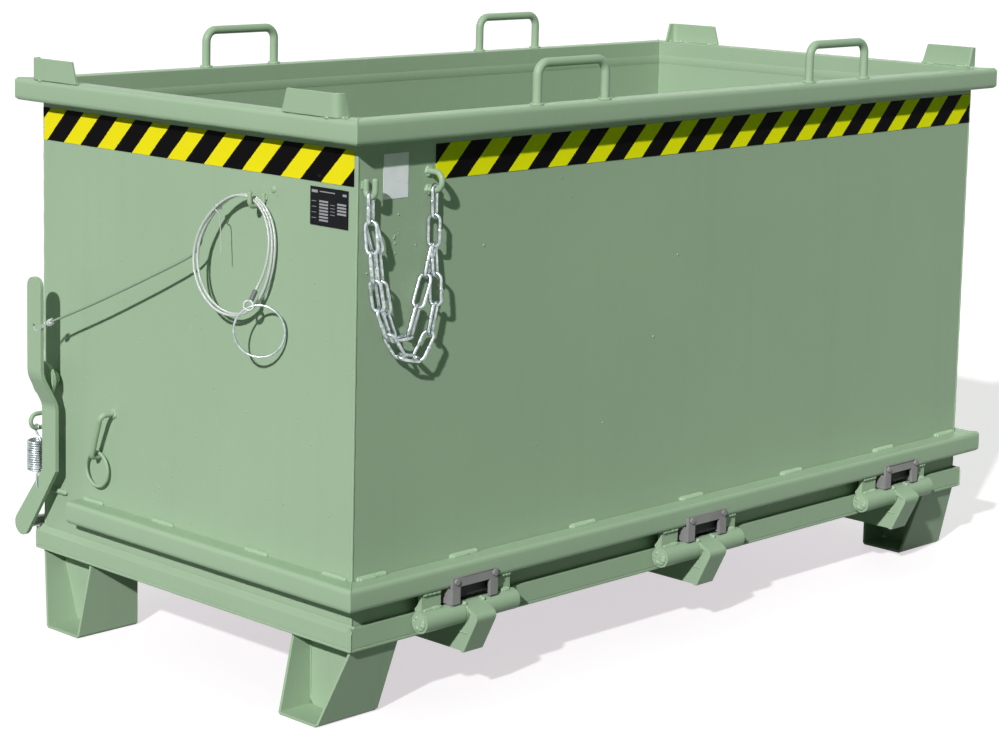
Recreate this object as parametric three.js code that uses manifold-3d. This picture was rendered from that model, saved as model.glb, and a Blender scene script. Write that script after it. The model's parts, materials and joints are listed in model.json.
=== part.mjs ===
// Drop bottom bin: a steel tub whose floor is a hinged flap, let go by a rope-pulled lever.
// Millimetres, +Z up. X runs along the tub, the hinges are on the -Y side, the lever on the -X end.
import * as THREE from "three";
import { mergeVertices } from "three/addons/utils/BufferGeometryUtils.js";
import Module from "manifold-3d";

const wasm = await Module();
wasm.setup();

// Fits shared by all pieces
const seam = 0.3; // between pieces that are welded, bolted or resting on each other
const overrun = 5; // how far a cutting tool passes the piece it cuts
const tape_thickness = 0.6;

// Tub: four sheets, a tube rim on top and a flange near the bottom
const tub = { length: 1694, width: 826, sheet: 3, bottom: 150 };
const rim = { top: 1000, tube: 40, rounding: 9 };
const flange = { bottom: 210, height: 40, bay_length: 84, bay_width: 150 };

// Flap: floor plate, upstanding frame and four feet
const tray = { bottom: 135, plate: 6, overhang: 11, side_bar: 8, side_height: 34 };
const lip = { sheet: 5, height: 27, reach: 10 };
const foot = {
  inner_x: 742, spread: 30, inner_y: 272, outer_y: 415, toe_y: 367, plate: 5, rounding: 10,
  web_x: 805, web_chamfer: 18,
};

// Hinges and the buffers that stop the flap
const hinge = {
  spacing: 604.7, out: 31, height: 164, tube_radius: 18.5, bore_radius: 10, pin_radius: 9.5,
  left: 117.5, right: 103, knuckle: 48, side_gap: 2,
};
const bracket = {
  plate: 8, set_back: 6, left_start: 112, left_end: 67, right_start: 67, right_end: 98, gusset: 8,
  back: 5.4, bottom: 183, wing: 6, wing_drop: 7,
};
const pin_head = { radius: 14.5, thickness: 3 };
const ear = {
  width: 46, strap: 7, root: 3, reach: 43.5, corner_rise: 0, tip_reach: 9.5, tip_drop: 68,
  rounding: 12, web: 6, web_inset: 8, rib_reach: 124, link_bottom: 150, link_top: 174,
};
const web_shares = { upper_x: 0.1, upper_z: 0.65, corner_x: 1.4, corner_z: 0.5, tip_x: 0.5, heel: 0.5 };
const housing = {
  width: 108, window: 70, bottom: 183, top: 228, window_top: 212, plate: 6, cheek: 6,
  bolt_radius: 5.5, bolt_height: 4, bolt_edge: 9,
};
const rubber = { bottom: 188, recess: 9 };

// Lifting loops and stacking corners on the rim
const loop = { spacing: 742, legs: 170, bar_radius: 8, rise: 78, bend: 22 };
const stack = {
  plate: 5, height: 39, inset: 1, long_start: 283, short_line: 402, short_length: 4, bend: 26, slant: 12,
};

// Stripes and plates
const stripe = { below_rim: 12, height: 58, end_margin: 7, side_start: 173 };
const data_plate = { width: 89, height: 62, edge: 19, below_stripes: 8, thickness: 2 };
const label = { width: 55, height: 73, edge: 56, below_rim: 21, thickness: 0.6 };

// Release lever, its shaft and hooks, and the spring that returns it
const lever = {
  from_side: 57, width: 40, thickness: 8, top: 653, stand_off: 57, foot_stand_off: 25, dogleg_top: 476,
  dogleg_drop: 58, knee: 296, end_radius: 21, rope_hole: 565, rope_hole_radius: 3.5,
};
const hub = {
  radius: 33, plate: 7, stand_off: 33, boss_radius: 14, aside: 19, below_step: 16, wall_gap: 4,
};
const shaft = {
  out: 26, rise: 46, radius: 10, bore: 10.6, far_end: 640, hook_spacing: 960, hook_width: 14,
  bearing_width: 8, first_bearing: 740, last_bearing: 600,
};
const claw = { shank: 12, gap: 1.5, nose: 10, nose_height: 13, under: 0.4, hub_radius: 17 };
const bearing = { reach_in: 14, reach_out: 17, reach_down: 16 };
const eye = { rod_radius: 4, below_hub: 80, legs: 26, reach: 46, aside: 41 };
const spring = {
  radius: 15.4, wire_radius: 1.6, turns: 12, below_eye: 35, length: 55, aside: 2, reach: 29,
  hole_aside: 8, hole_drop: 30, hole_radius: 2.3, lead: 6.4,
};

// Rope hook, rope, ferrule and pull ring
const rope = { radius: 2.5, stretch_sides: 8, stretch_steps: 44, coil_sides: 6, steps_per_turn: 24 };
const rope_hook = { rod_radius: 4, y: 194, below_rim: 122, back_rise: 20, rise: 26, span: 30, bend: 9 };
const coil = {
  aside: 49, below_hook: 99, radius: 85.4, narrow: 0.84, lean: 0.22, pitch: 5.6, start_angle: 20,
  end_angle: 200, whole_turns: 2, wall_distance: 8, lift: 1, peak_width: 0.8, end_radius: 78.7,
  narrowing: 70, wander: 2, wander_turn_share: 0.7, pull_drop: 58,
};
const run_out_shares = [{ aside: 0.4, along: 1 }, { aside: 0.8, along: 2.5 }, { aside: 0.8, along: 4 }];
const stretch = { out: 2, aside: 28, above_hole: 14 };
const stretch_shares = [
  { out: 0, along: 0, up: 0 }, { out: 0.086, along: 0.086, up: 0.073 },
  { out: 0.215, along: 0.288, up: 0.243 }, { out: 0.366, along: 0.489, up: 0.422 },
  { out: 0.538, along: 0.691, up: 0.607 },
  { out: 0.753, along: 0.864, up: 0.772 }, { out: 0.925, along: 0.95, up: 0.869 },
];
const knot = { radius: 6.5, length: 15 };
const knot_shares = [0, 0.5, 0.87, 1, 0.87, 0.5, 0];
const ferrule = { radius: 4.5, length: 20, eye_radius: 8, slack: 0.9 };
const pull_ring = { radius: 43, wire_radius: 2, turn: 36, tilt: 25 };

// Parking rod with its ring, chain eye and chain hook
const park = {
  rod_radius: 5, y: 207.5, weld_height: 421, elbow_out: 30, aside: 37.5, drop: 83, peg_out: 21,
  peg_gap: 3, bend: 9, ring_radius: 31, ring_wire: 3, ring_out: 9,
};
const chain_hook = {
  rod_radius: 5, from_end: 14, below_rim: 85, rise: 31, back_rise: 28, span: 21, bend: 10,
};
const chain_eye = { rod_radius: 5, from_end: 157, below_rim: 70, legs: 30, reach: 36 };
const chain = {
  wire_radius: 2.75, half_width: 9.75, bite: 0.5, pitch: 48, depth: 189.5, out: 14, strand_gap: 7,
  saddle: 0.7, turn: 25, inner_links: 8, outer_links: 10,
};
const inner_strand_shares = [
  { along: 0.222, down: 0.49 }, { along: 0.471, down: 0.86 }, { along: 0.748, down: 0.5 },
  { along: 0.877, down: -0.02 },
];
const outer_strand_shares = [
  { along: 0, down: 0.5 }, { along: 0.102, down: 0.77 }, { along: 0.351, down: 1 },
  { along: 0.591, down: 0.87 }, { along: 0.877, down: 0.51 }, { along: 0.997, down: 0 },
];
const left_fork_share = { along: 0.985, down: -0.26 };

// Places that follow from the sizes above
const wall_x = tub.length / 2;
const wall_y = tub.width / 2;
const rim_x = wall_x - tub.sheet + rim.tube;
const rim_y = wall_y - tub.sheet + rim.tube;
const rim_bottom = rim.top - rim.tube;
const tray_x = wall_x + tray.overhang;
const tray_y = wall_y + tray.overhang;
const tray_top = tray.bottom + tray.plate;
const hinge_y = -wall_y - hinge.out;
const end_face = -wall_x - seam;
const side_face = -wall_y - seam;
const lever_y = wall_y - lever.from_side;
const dogleg_bottom = lever.dogleg_top - lever.dogleg_drop;
const hub_y = lever_y + hub.aside;
const hub_height = lever.dogleg_top - hub.below_step;
const eye_y = lever_y + eye.aside;
const eye_height = hub_height - eye.below_hub;
const spring_y = eye_y + spring.aside;
const spring_top = eye_height - spring.below_eye;
const spring_bottom = spring_top - spring.length;
const hole_y = eye_y - spring.hole_aside;
const hole_height = spring_bottom - spring.hole_drop;
const shaft_y = wall_y + shaft.out;
const shaft_height = tray.bottom + shaft.rise;
const chain_hook_x = wall_x - chain_hook.from_end;
const chain_hook_bottom = rim_bottom - chain_hook.below_rim;
const chain_eye_x = wall_x - chain_eye.from_end;
const chain_eye_height = rim_bottom - chain_eye.below_rim;
const rope_hook_bottom = rim_bottom - rope_hook.below_rim;
const coil_y = -rope_hook.y + coil.aside;
const coil_height = rope_hook_bottom - coil.below_hook;
const peg_y = park.y + park.aside;
const peg_height = park.weld_height - park.drop;

// Geometry helpers
const v = (x, y, z) => new THREE.Vector3(x, y, z);
const flat = (x, y) => new THREE.Vector3(x, y, 0);

function bare(geometry) {
  geometry.deleteAttribute("normal");
  geometry.deleteAttribute("uv");
  return mergeVertices(geometry);
}

function volume(geometry) {
  const p = geometry.attributes.position;
  const index = geometry.index.array;
  const corner = [v(), v(), v()];
  let sum = 0;
  for (let i = 0; i < index.length; i += 3) {
    corner.forEach((c, k) => c.fromBufferAttribute(p, index[i + k]));
    sum += corner[0].dot(corner[1].cross(corner[2]));
  }
  return sum;
}

// A geometry with its faces turned outwards, whatever way its points were listed
function outward(geometry) {
  if (volume(geometry) < 0) geometry.index.array.reverse();
  return geometry;
}

function solid(geometry) {
  const g = outward(bare(geometry));
  return new wasm.Manifold(new wasm.Mesh({
    numProp: 3,
    vertProperties: new Float32Array(g.attributes.position.array),
    triVerts: new Uint32Array(g.index.array),
  }));
}

function surface(body) {
  const mesh = body.getMesh();
  const geometry = new THREE.BufferGeometry();
  geometry.setAttribute("position", new THREE.BufferAttribute(new Float32Array(mesh.vertProperties), 3));
  geometry.setIndex(new THREE.BufferAttribute(new Uint32Array(mesh.triVerts), 1));
  return geometry;
}

function joined(...pieces) {
  return surface(pieces.map(solid).reduce((sum, piece) => sum.add(piece)));
}

function cut(piece, ...tools) {
  return surface(tools.map(solid).reduce((rest, tool) => rest.subtract(tool), solid(piece)));
}

function common(piece, ...tools) {
  return surface(tools.map(solid).reduce((rest, tool) => rest.intersect(tool), solid(piece)));
}

function block([x0, x1], [y0, y1], [z0, z1]) {
  const box = new THREE.BoxGeometry(Math.abs(x1 - x0), Math.abs(y1 - y0), Math.abs(z1 - z0));
  return box.translate((x0 + x1) / 2, (y0 + y1) / 2, (z0 + z1) / 2);
}

// An outline drawn across one axis and drawn out along it: (y, z) for x, (x, z) for y, (x, y) for z
function prism(axis, outline, from, to) {
  const shape = new THREE.Shape(outline.map((p) => new THREE.Vector2(p.x, p.y)));
  const geometry = new THREE.ExtrudeGeometry(shape, { depth: to - from, bevelEnabled: false });
  const turn = new THREE.Matrix4();
  if (axis === "x") turn.makeBasis(v(0, 1, 0), v(0, 0, 1), v(1, 0, 0)).setPosition(from, 0, 0);
  if (axis === "y") turn.makeBasis(v(1, 0, 0), v(0, 0, 1), v(0, -1, 0)).setPosition(0, to, 0);
  if (axis === "z") turn.setPosition(0, 0, from);
  return geometry.applyMatrix4(turn);
}

// A round bar of a stated length along one axis, centred on a point
function cylinder(axis, centre, radius, length, sides = 24) {
  const geometry = new THREE.CylinderGeometry(radius, radius, length, sides);
  if (axis === "x") geometry.rotateZ(Math.PI / 2);
  if (axis === "z") geometry.rotateX(Math.PI / 2);
  return geometry.translate(centre.x, centre.y, centre.z);
}

// A line of points whose inner corners are rounded
function rounded(points, radius, steps = 4, closed = false) {
  const last = points.length - 1;
  return points.flatMap((p, i) => {
    if (!closed && (i === 0 || i === last)) return [p];
    const before = points[(i + last) % (last + 1)].clone().sub(p);
    const after = points[(i + 1) % (last + 1)].clone().sub(p);
    const half = before.angleTo(after) / 2;
    const reach = Math.min(radius / Math.tan(half), before.length() / 2, after.length() / 2);
    const start = p.clone().addScaledVector(before.normalize(), reach);
    const end = p.clone().addScaledVector(after.normalize(), reach);
    const arc = new THREE.QuadraticBezierCurve3(start, p, end);
    return arc.getPoints(steps);
  });
}

// A band of even thickness on the left side of a flat line of points
function band(points, thickness) {
  const last = points.length - 1;
  const side = (i) => {
    const d = points[i + 1].clone().sub(points[i]).normalize();
    return flat(-d.y, d.x);
  };
  const inner = points.map((p, i) => {
    const a = side(Math.max(i - 1, 0));
    const b = side(Math.min(i, last - 1));
    const middle = a.clone().add(b).normalize();
    return p.clone().addScaledVector(middle, thickness / middle.dot(b));
  });
  return [...points, ...inner.reverse()];
}

// A route through chosen points, with one tube section square to the route at each of them
class Route extends THREE.Curve {
  constructor(points) {
    super();
    this.points = points;
  }

  place(t) {
    const count = this.points.length - 1;
    const i = Math.min(Math.floor(t * count + 1e-9), count - 1);
    return { i, rest: t * count - i };
  }

  getPoint(t, target = v()) {
    const { i, rest } = this.place(t);
    return target.lerpVectors(this.points[i], this.points[i + 1], rest);
  }

  getPointAt(t, target) {
    return this.getPoint(t, target);
  }

  getTangentAt(t, target = v()) {
    const i = Math.round(t * (this.points.length - 1));
    const ahead = this.points[Math.min(i + 1, this.points.length - 1)];
    const behind = this.points[Math.max(i - 1, 0)];
    const here = this.points[i];
    const forward = ahead.clone().sub(here).normalize();
    const backward = here.clone().sub(behind).normalize();
    return target.copy(forward.add(backward)).normalize();
  }
}

function tube(points, radius, sides = 10) {
  const section = new THREE.Shape(Array.from({ length: sides }, (_, k) => {
    const angle = (2 * Math.PI * k) / sides;
    return new THREE.Vector2(radius * Math.cos(angle), radius * Math.sin(angle));
  }));
  return new THREE.ExtrudeGeometry(section, {
    steps: points.length - 1, extrudePath: new Route(points), bevelEnabled: false,
  });
}

// A flat profile of (distance in from the outer face, height), carried round a rectangle with mitred corners
function frame_ring(half_x, half_y, profile) {
  const corners = [[-1, -1], [1, -1], [1, 1], [-1, 1]];
  const positions = corners.flatMap(([sx, sy]) =>
    profile.flatMap((p) => [sx * (half_x - p.x), sy * (half_y - p.x), p.y]));
  const n = profile.length;
  const index = corners.flatMap((_, side) => profile.flatMap((__, k) => {
    const a = side * n + k;
    const b = side * n + ((k + 1) % n);
    const c = ((side + 1) % 4) * n + k;
    const d = ((side + 1) % 4) * n + ((k + 1) % n);
    return [a, b, c, b, d, c];
  }));
  const geometry = new THREE.BufferGeometry();
  geometry.setAttribute("position", new THREE.BufferAttribute(new Float32Array(positions), 3));
  geometry.setIndex(new THREE.BufferAttribute(new Uint32Array(index), 1));
  return outward(geometry);
}

// A square tube's outline whose two outer edges are rounded
function tube_profile(width, bottom, top, rounding) {
  const corners = [flat(width, bottom), flat(0, bottom), flat(0, top), flat(width, top)];
  return rounded(corners, rounding, 3);
}

// The same piece on the other side of the tub in X, in Y, or in both
function mirrored(geometry, sx, sy) {
  const copy = bare(geometry.clone()).scale(sx, sy, 1);
  return outward(copy);
}

const bin = new THREE.Group();

function add(name, geometry, finish) {
  const mesh = new THREE.Mesh(outward(bare(geometry)), new THREE.MeshStandardMaterial(finish));
  mesh.name = name;
  bin.add(mesh);
}

const paint = { color: 0x8fa883, roughness: 0.45, metalness: 0 };
const grey_paint = { color: 0x7d7a7c, roughness: 0.5, metalness: 0 };
const zinc = { color: 0xc3c6c8, roughness: 0.35, metalness: 1 };
const steel = { color: 0xa9abad, roughness: 0.4, metalness: 1 };
const black_rubber = { color: 0x1c1d1e, roughness: 0.8, metalness: 0 };
const yellow_tape = { color: 0xe6d21e, roughness: 0.4, metalness: 0 };
const black_plate = { color: 0x17181a, roughness: 0.4, metalness: 0 };
const white_label = { color: 0xd9dee2, roughness: 0.5, metalness: 0 };
const grey_rope = { color: 0xbfc4c2, roughness: 0.85, metalness: 0 };

const both = [-1, 1];
const corners = both.flatMap((sx) => both.map((sy) => [sx, sy]));

// The four sheets of the tub
const wall_z = [tub.bottom, rim_bottom - seam];
const side_length = [-wall_x, wall_x];
const end_width = wall_y - tub.sheet - seam;
add("wall_front", block(side_length, [-wall_y, tub.sheet - wall_y], wall_z), paint);
add("wall_back", block(side_length, [wall_y - tub.sheet, wall_y], wall_z), paint);
add("wall_left", block([-wall_x, tub.sheet - wall_x], [-end_width, end_width], wall_z), paint);
add("wall_right", block([wall_x - tub.sheet, wall_x], [-end_width, end_width], wall_z), paint);

// Rim, and the flange with its bay for the lever at one corner
add("rim", frame_ring(rim_x, rim_y, tube_profile(rim.tube, rim_bottom, rim.top, rim.rounding)), paint);
const flange_width = rim_x - wall_x - seam;
const flange_top = flange.bottom + flange.height;
const flange_profile = tube_profile(flange_width, flange.bottom, flange_top, rim.rounding);
const lever_bay = block(
  [-rim_x - overrun, flange.bay_length - rim_x],
  [rim_y - flange.bay_width, rim_y + overrun],
  [flange.bottom - overrun, flange_top + overrun],
);
add("flange", cut(frame_ring(rim_x, rim_y, flange_profile), lever_bay), paint);

// Stacking corners: bent plates on the rim with slanting ends
function stacking_corner() {
  const outer = rim_x - stack.inset;
  const bend_line = rounded([
    flat(outer, stack.long_start - stack.slant),
    flat(outer, stack.short_line),
    flat(outer - stack.bend - stack.short_length, stack.short_line),
  ], stack.bend, 5);
  const bottom = rim.top + seam;
  const top = bottom + stack.height;
  const plate = prism("z", band(bend_line, stack.plate), bottom, top);
  const long_end = stack.long_start - stack.slant;
  const short_end = outer - stack.bend - stack.short_length;
  const long_wedge = prism("x", [
    flat(long_end - overrun, bottom - overrun),
    flat(long_end, bottom),
    flat(stack.long_start, top),
    flat(long_end - overrun, top + overrun),
  ], outer - stack.plate - overrun, outer + overrun);
  const short_wedge = prism("y", [
    flat(short_end - overrun, bottom - overrun),
    flat(short_end, bottom),
    flat(short_end + stack.slant, top),
    flat(short_end - overrun, top + overrun),
  ], stack.short_line - stack.plate - overrun, stack.short_line + overrun);
  return cut(plate, long_wedge, short_wedge);
}
corners.forEach(([sx, sy], i) => add(`stacking_corner_${i + 1}`, mirrored(stacking_corner(), sx, sy), paint));

// Lifting loops of round bar
function lifting_loop(sx, sy) {
  const x = (sx * loop.spacing) / 2;
  const y = sy * (rim_y - rim.tube / 2);
  const top = rim.top + loop.rise - loop.bar_radius;
  const half = loop.legs / 2;
  const points = [v(x - half, y, rim.top + seam), v(x - half, y, top), v(x + half, y, top),
    v(x + half, y, rim.top + seam)];
  return tube(rounded(points, loop.bend, 5), loop.bar_radius, 12);
}
corners.forEach(([sx, sy], i) => add(`lifting_loop_${i + 1}`, lifting_loop(sx, sy), paint));

// Warning stripes under the rim, the data plate and the blank label
const stripe_bottom = rim_bottom - stripe.below_rim - stripe.height;
const stripe_z = [stripe_bottom, stripe_bottom + stripe.height];
const end_stripe = [-wall_y + stripe.end_margin, wall_y];
const side_stripe = [-wall_x + stripe.side_start, wall_x];
const tape_in = seam + tape_thickness;
add("stripes_left", block([-wall_x - tape_in, end_face], end_stripe, stripe_z), yellow_tape);
add("stripes_right", block([wall_x + seam, wall_x + tape_in], end_stripe, stripe_z), yellow_tape);
add("stripes_front", block(side_stripe, [-wall_y - tape_in, side_face], stripe_z), yellow_tape);
add("stripes_back", block(side_stripe, [wall_y + seam, wall_y + tape_in], stripe_z), yellow_tape);
const plate_start = -wall_y + data_plate.edge;
const plate_bottom = stripe_bottom - data_plate.below_stripes - data_plate.height;
add("data_plate", block(
  [end_face - data_plate.thickness, end_face],
  [plate_start, plate_start + data_plate.width],
  [plate_bottom, plate_bottom + data_plate.height],
), black_plate);
const label_start = -wall_x + label.edge;
const label_bottom = rim_bottom - label.below_rim - label.height;
add("blank_label", block(
  [label_start, label_start + label.width],
  [side_face - label.thickness, side_face],
  [label_bottom, label_bottom + label.height],
), white_label);

// Floor plate and the frame that stands up round the tub's lower edge
add("floor_plate", block([-tray_x, tray_x], [-tray_y, tray_y], [tray.bottom, tray_top]), paint);
function flap_frame() {
  const bottom = tray_top + seam;
  const top = tray_top + tray.side_height;
  const side_line = [
    flat(-tray_y, bottom),
    flat(-tray_y, top),
    flat(tray.side_bar - tray_y, top),
    flat(tray.side_bar - tray_y, bottom),
  ];
  const side = prism("x", side_line, -tray_x, tray_x);
  const bend_z = tray_top + lip.height;
  const slope = lip.sheet * Math.SQRT2;
  const end_line = [
    flat(tray_x, bottom),
    flat(tray_x, bend_z),
    flat(tray_x - lip.reach, bend_z + lip.reach),
    flat(tray_x - lip.reach, bend_z + lip.reach - slope),
    flat(tray_x - lip.sheet, bend_z + lip.sheet - slope),
    flat(tray_x - lip.sheet, bottom),
  ];
  const end = prism("y", end_line, -tray_y, tray_y);
  return joined(side, mirrored(side, 1, -1), end, mirrored(end, -1, 1));
}
add("flap_frame", flap_frame(), paint);

// Feet: a bottom plate, two side plates and a web, open towards the tub's end
function foot_shell() {
  const top = tray.bottom - seam;
  const toe_x = wall_x + foot.spread;
  const side = [flat(foot.inner_x, 0), flat(toe_x, 0), flat(wall_x, top), flat(foot.inner_x, top)];
  const inner = prism("y", side, foot.inner_y, foot.inner_y + foot.plate);
  const outer = bare(prism("y", side, foot.outer_y - foot.plate, foot.outer_y));
  const lean = (foot.outer_y - foot.toe_y) / top;
  outer.applyMatrix4(new THREE.Matrix4().makeShear(0, 0, 0, 0, 0, lean));
  outer.translate(0, -lean * top, 0);
  const web = prism("x", [
    flat(foot.inner_y, foot.web_chamfer),
    flat(foot.inner_y + foot.web_chamfer, 0),
    flat(foot.toe_y, 0),
    flat(foot.outer_y, top),
    flat(foot.inner_y, top),
  ], foot.web_x, foot.web_x + foot.plate);
  const sole_line = [
    flat(foot.inner_x, foot.inner_y),
    flat(toe_x, foot.inner_y),
    flat(toe_x, foot.toe_y),
    flat(foot.inner_x, foot.toe_y),
  ];
  const sole = prism("z", sole_line, 0, foot.plate);
  const body = joined(inner, outer, web, sole);
  const toe = foot.rounding * Math.tan(Math.PI / 8);
  const toe_cut = (y, way) => prism("x", [
    flat(y - way * overrun, -overrun),
    flat(y + way * toe, -overrun),
    flat(y + way * toe, 0),
    flat(y, toe),
    flat(y - way * overrun, toe),
  ], foot.inner_x - overrun, toe_x + overrun);
  return cut(body, toe_cut(foot.inner_y, 1), toe_cut(foot.toe_y, -1));
}
corners.forEach(([sx, sy], i) => add(`foot_${i + 1}`, mirrored(foot_shell(), sx, sy), paint));

// Hinge brackets: two tubes on plates that hang from the flange, tied by a back plate
const plate_top = flange.bottom - seam;
function hinge_tube(x0, x1) {
  return cylinder("x", v((x0 + x1) / 2, hinge_y, hinge.height), hinge.tube_radius, x1 - x0);
}
function hinge_bore(x) {
  return cylinder("x", v(x, hinge_y, hinge.height), hinge.bore_radius, 2 * (hinge.left + overrun), 16);
}
function hinge_bracket(x) {
  const gap = hinge.knuckle / 2 + hinge.side_gap;
  const front = hinge_y + bracket.set_back - bracket.plate / 2;
  const hanging = [front, front + bracket.plate];
  const depth = [hanging[0], side_face];
  const low = hinge.height;
  const gusset_z = [bracket.bottom, plate_top];
  const left_in = x - bracket.left_end;
  const right_in = x + bracket.right_start;
  const left_out = x - bracket.left_start;
  const wing = prism("x", [
    flat(front, plate_top - bracket.wing_drop),
    flat(hinge_y + hinge.tube_radius, hinge.height + hinge.tube_radius),
    flat(hinge_y + hinge.bore_radius, low),
    flat(front, low),
  ], left_out, left_out + bracket.wing);
  const body = joined(
    hinge_tube(x - hinge.left, x - gap),
    hinge_tube(x + gap, x + hinge.right),
    wing,
    block([left_out, left_in], hanging, [low, plate_top]),
    block([right_in, x + bracket.right_end], hanging, [low, plate_top]),
    block([left_in - bracket.gusset, left_in], depth, gusset_z),
    block([right_in, right_in + bracket.gusset], depth, gusset_z),
    block([left_in, right_in], [side_face - bracket.back, side_face], gusset_z),
  );
  return cut(body, hinge_bore(x));
}

function hinge_pin(x) {
  const centre = (dx) => v(x + dx, hinge_y, hinge.height);
  const out = seam + pin_head.thickness / 2;
  return joined(
    cylinder("x", centre((hinge.right - hinge.left) / 2), hinge.pin_radius,
      hinge.left + hinge.right + 2 * out, 16),
    cylinder("x", centre(-hinge.left - out), pin_head.radius, pin_head.thickness, 20),
    cylinder("x", centre(hinge.right + out), pin_head.radius, pin_head.thickness, 20),
  );
}

// Striker: the flap's knuckle with a folded strap and two webs that run back under the flap as ribs
function striker(x) {
  const at = (dy, dz) => flat(hinge_y + dy, hinge.height + dz);
  const tip = at(-ear.tip_reach, -ear.tip_drop);
  const corner = at(-ear.reach, ear.corner_rise);
  const past_tip = tip.clone().sub(corner).setLength(ear.strap).add(tip);
  const strap_line = rounded([at(-ear.root, hinge.tube_radius), corner, past_tip], ear.rounding, 4);
  const half = ear.width / 2;
  const strap = prism("x", band(strap_line, ear.strap), x - half, x + half);
  const rib_top = tray.bottom - seam;
  const web_line = [
    at(-ear.reach * web_shares.upper_x, hinge.tube_radius * web_shares.upper_z),
    flat(corner.x + ear.strap * web_shares.corner_x, corner.y - ear.strap * web_shares.corner_z),
    flat(tip.x + ear.strap * web_shares.tip_x, tip.y),
    at(ear.rib_reach, -ear.tip_drop),
    flat(hinge_y + ear.rib_reach, rib_top),
    flat(-tray_y - seam, rib_top),
    flat(-tray_y - seam, ear.link_bottom),
    at(hinge.tube_radius * web_shares.heel, -hinge.tube_radius * web_shares.heel),
  ];
  const web_at = half - ear.web_inset;
  const webs = both.map((side) => {
    const middle = x + side * web_at;
    return prism("x", web_line, middle - ear.web / 2, middle + ear.web / 2);
  });
  const knuckle = [x - hinge.knuckle / 2, x + hinge.knuckle / 2];
  const link = block(knuckle, [hinge_y + hinge.pin_radius, -tray_y - seam], [ear.link_bottom, ear.link_top]);
  const below_tip = block(knuckle, [hinge_y - ear.reach, hinge_y + ear.rib_reach],
    [tip.y - 2 * ear.strap, tip.y]);
  return cut(joined(hinge_tube(...knuckle), strap, ...webs, link), hinge_bore(x), below_tip);
}

// Buffer housing: a plate with a window in front of the flange, its cheeks reaching back to the bracket
function buffer_housing(x) {
  const front = -rim_y - seam - housing.plate;
  const back = -rim_y - seam;
  const window_half = housing.window / 2;
  const outer = housing.width / 2;
  const face = block([x - outer, x + outer], [front, back], [housing.bottom, housing.top]);
  const hole = block(
    [x - window_half, x + window_half],
    [front - overrun, back + overrun],
    [housing.bottom - overrun, housing.window_top],
  );
  const cheek_y = [front + housing.plate / 2, side_face - bracket.back - seam];
  const cheeks = both.map((side) => block(
    [x + side * (outer - housing.cheek), x + side * outer],
    cheek_y,
    [housing.bottom, plate_top],
  ));
  const bolts = both.map((side) => cylinder(
    "y",
    v(x + side * (outer - housing.bolt_edge), front, housing.top - housing.bolt_radius - seam),
    housing.bolt_radius,
    2 * housing.bolt_height,
    12,
  ));
  return joined(cut(face, hole), ...cheeks, ...bolts);
}

function buffer_rubber(x) {
  const half = housing.width / 2 - housing.cheek - seam;
  const front = -rim_y - seam + rubber.recess;
  return block([x - half, x + half], [front, side_face - bracket.back - seam], [rubber.bottom, plate_top]);
}

[-hinge.spacing, 0, hinge.spacing].forEach((x, i) => {
  add(`hinge_bracket_${i + 1}`, hinge_bracket(x), paint);
  add(`striker_${i + 1}`, striker(x), paint);
  add(`hinge_pin_${i + 1}`, hinge_pin(x), paint);
  add(`buffer_housing_${i + 1}`, buffer_housing(x), grey_paint);
  add(`buffer_rubber_${i + 1}`, buffer_rubber(x), black_rubber);
});

// Release lever: a flat bar that stands off the end wall, steps in, then slants down to its shaft
const lever_back = -wall_x - lever.foot_stand_off;
const lever_front = lever_back - lever.thickness;
const lever_head = -wall_x - lever.stand_off;
const lever_side_line = rounded([
  flat(lever_back, shaft_height - lever.end_radius - overrun),
  flat(lever_back, dogleg_bottom),
  flat(lever_head, lever.dogleg_top),
  flat(lever_head, lever.top + overrun),
], lever.width, 3);
function release_lever() {
  const half = lever.width / 2;
  const bent = prism("y", band(lever_side_line, lever.thickness),
    lever_y - half - overrun, shaft_y + lever.end_radius + overrun);
  const slant = Math.atan2(shaft_y - lever_y, lever.knee - shaft_height);
  const foot_side = lever.end_radius;
  const round_top = rounded([
    flat(lever_y - half, lever.knee),
    flat(lever_y - half, lever.top),
    flat(lever_y + half, lever.top),
    flat(lever_y + half, lever.knee),
  ], half, 6);
  const foot_arc = Array.from({ length: 9 }, (_, k) => {
    const angle = Math.PI + slant + (Math.PI * k) / 8;
    return flat(shaft_y + foot_side * Math.cos(angle), shaft_height + foot_side * Math.sin(angle));
  });
  const outline = prism("x", [...round_top.reverse(), ...foot_arc],
    lever_head - lever.thickness - overrun, lever_back + overrun);
  const reach = lever.stand_off + lever.thickness + 2 * overrun;
  const middle = -wall_x - reach / 2;
  return cut(
    common(outline, bent),
    cylinder("x", v(middle, lever_y, lever.rope_hole), lever.rope_hole_radius, reach, 12),
    cylinder("x", v(middle, hole_y, hole_height), spring.hole_radius, reach, 12),
  );
}
add("release_lever", release_lever(), paint);

// Hub: a disc behind the lever's step, and the boss that keeps it off the wall
const hub_back = -wall_x - hub.wall_gap;
const hub_front = -wall_x - hub.stand_off;
const hub_disc = cylinder("x", v(hub_front + hub.plate / 2, hub_y, hub_height), hub.radius, hub.plate, 28);
const hub_boss = cylinder("x", v((hub_front + hub_back) / 2, hub_y, hub_height), hub.boss_radius,
  hub_back - hub_front, 20);
const behind_lever = prism("y", [
  ...lever_side_line.map((p) => flat(p.x + seam / Math.SQRT1_2, p.y)),
  flat(hub_back + overrun, lever.top + overrun),
  flat(hub_back + overrun, shaft_height - lever.end_radius - overrun),
], hub_y - hub.radius - overrun, hub_y + hub.radius + overrun);
add("lever_hub", common(joined(hub_disc, hub_boss), behind_lever), paint);

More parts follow.
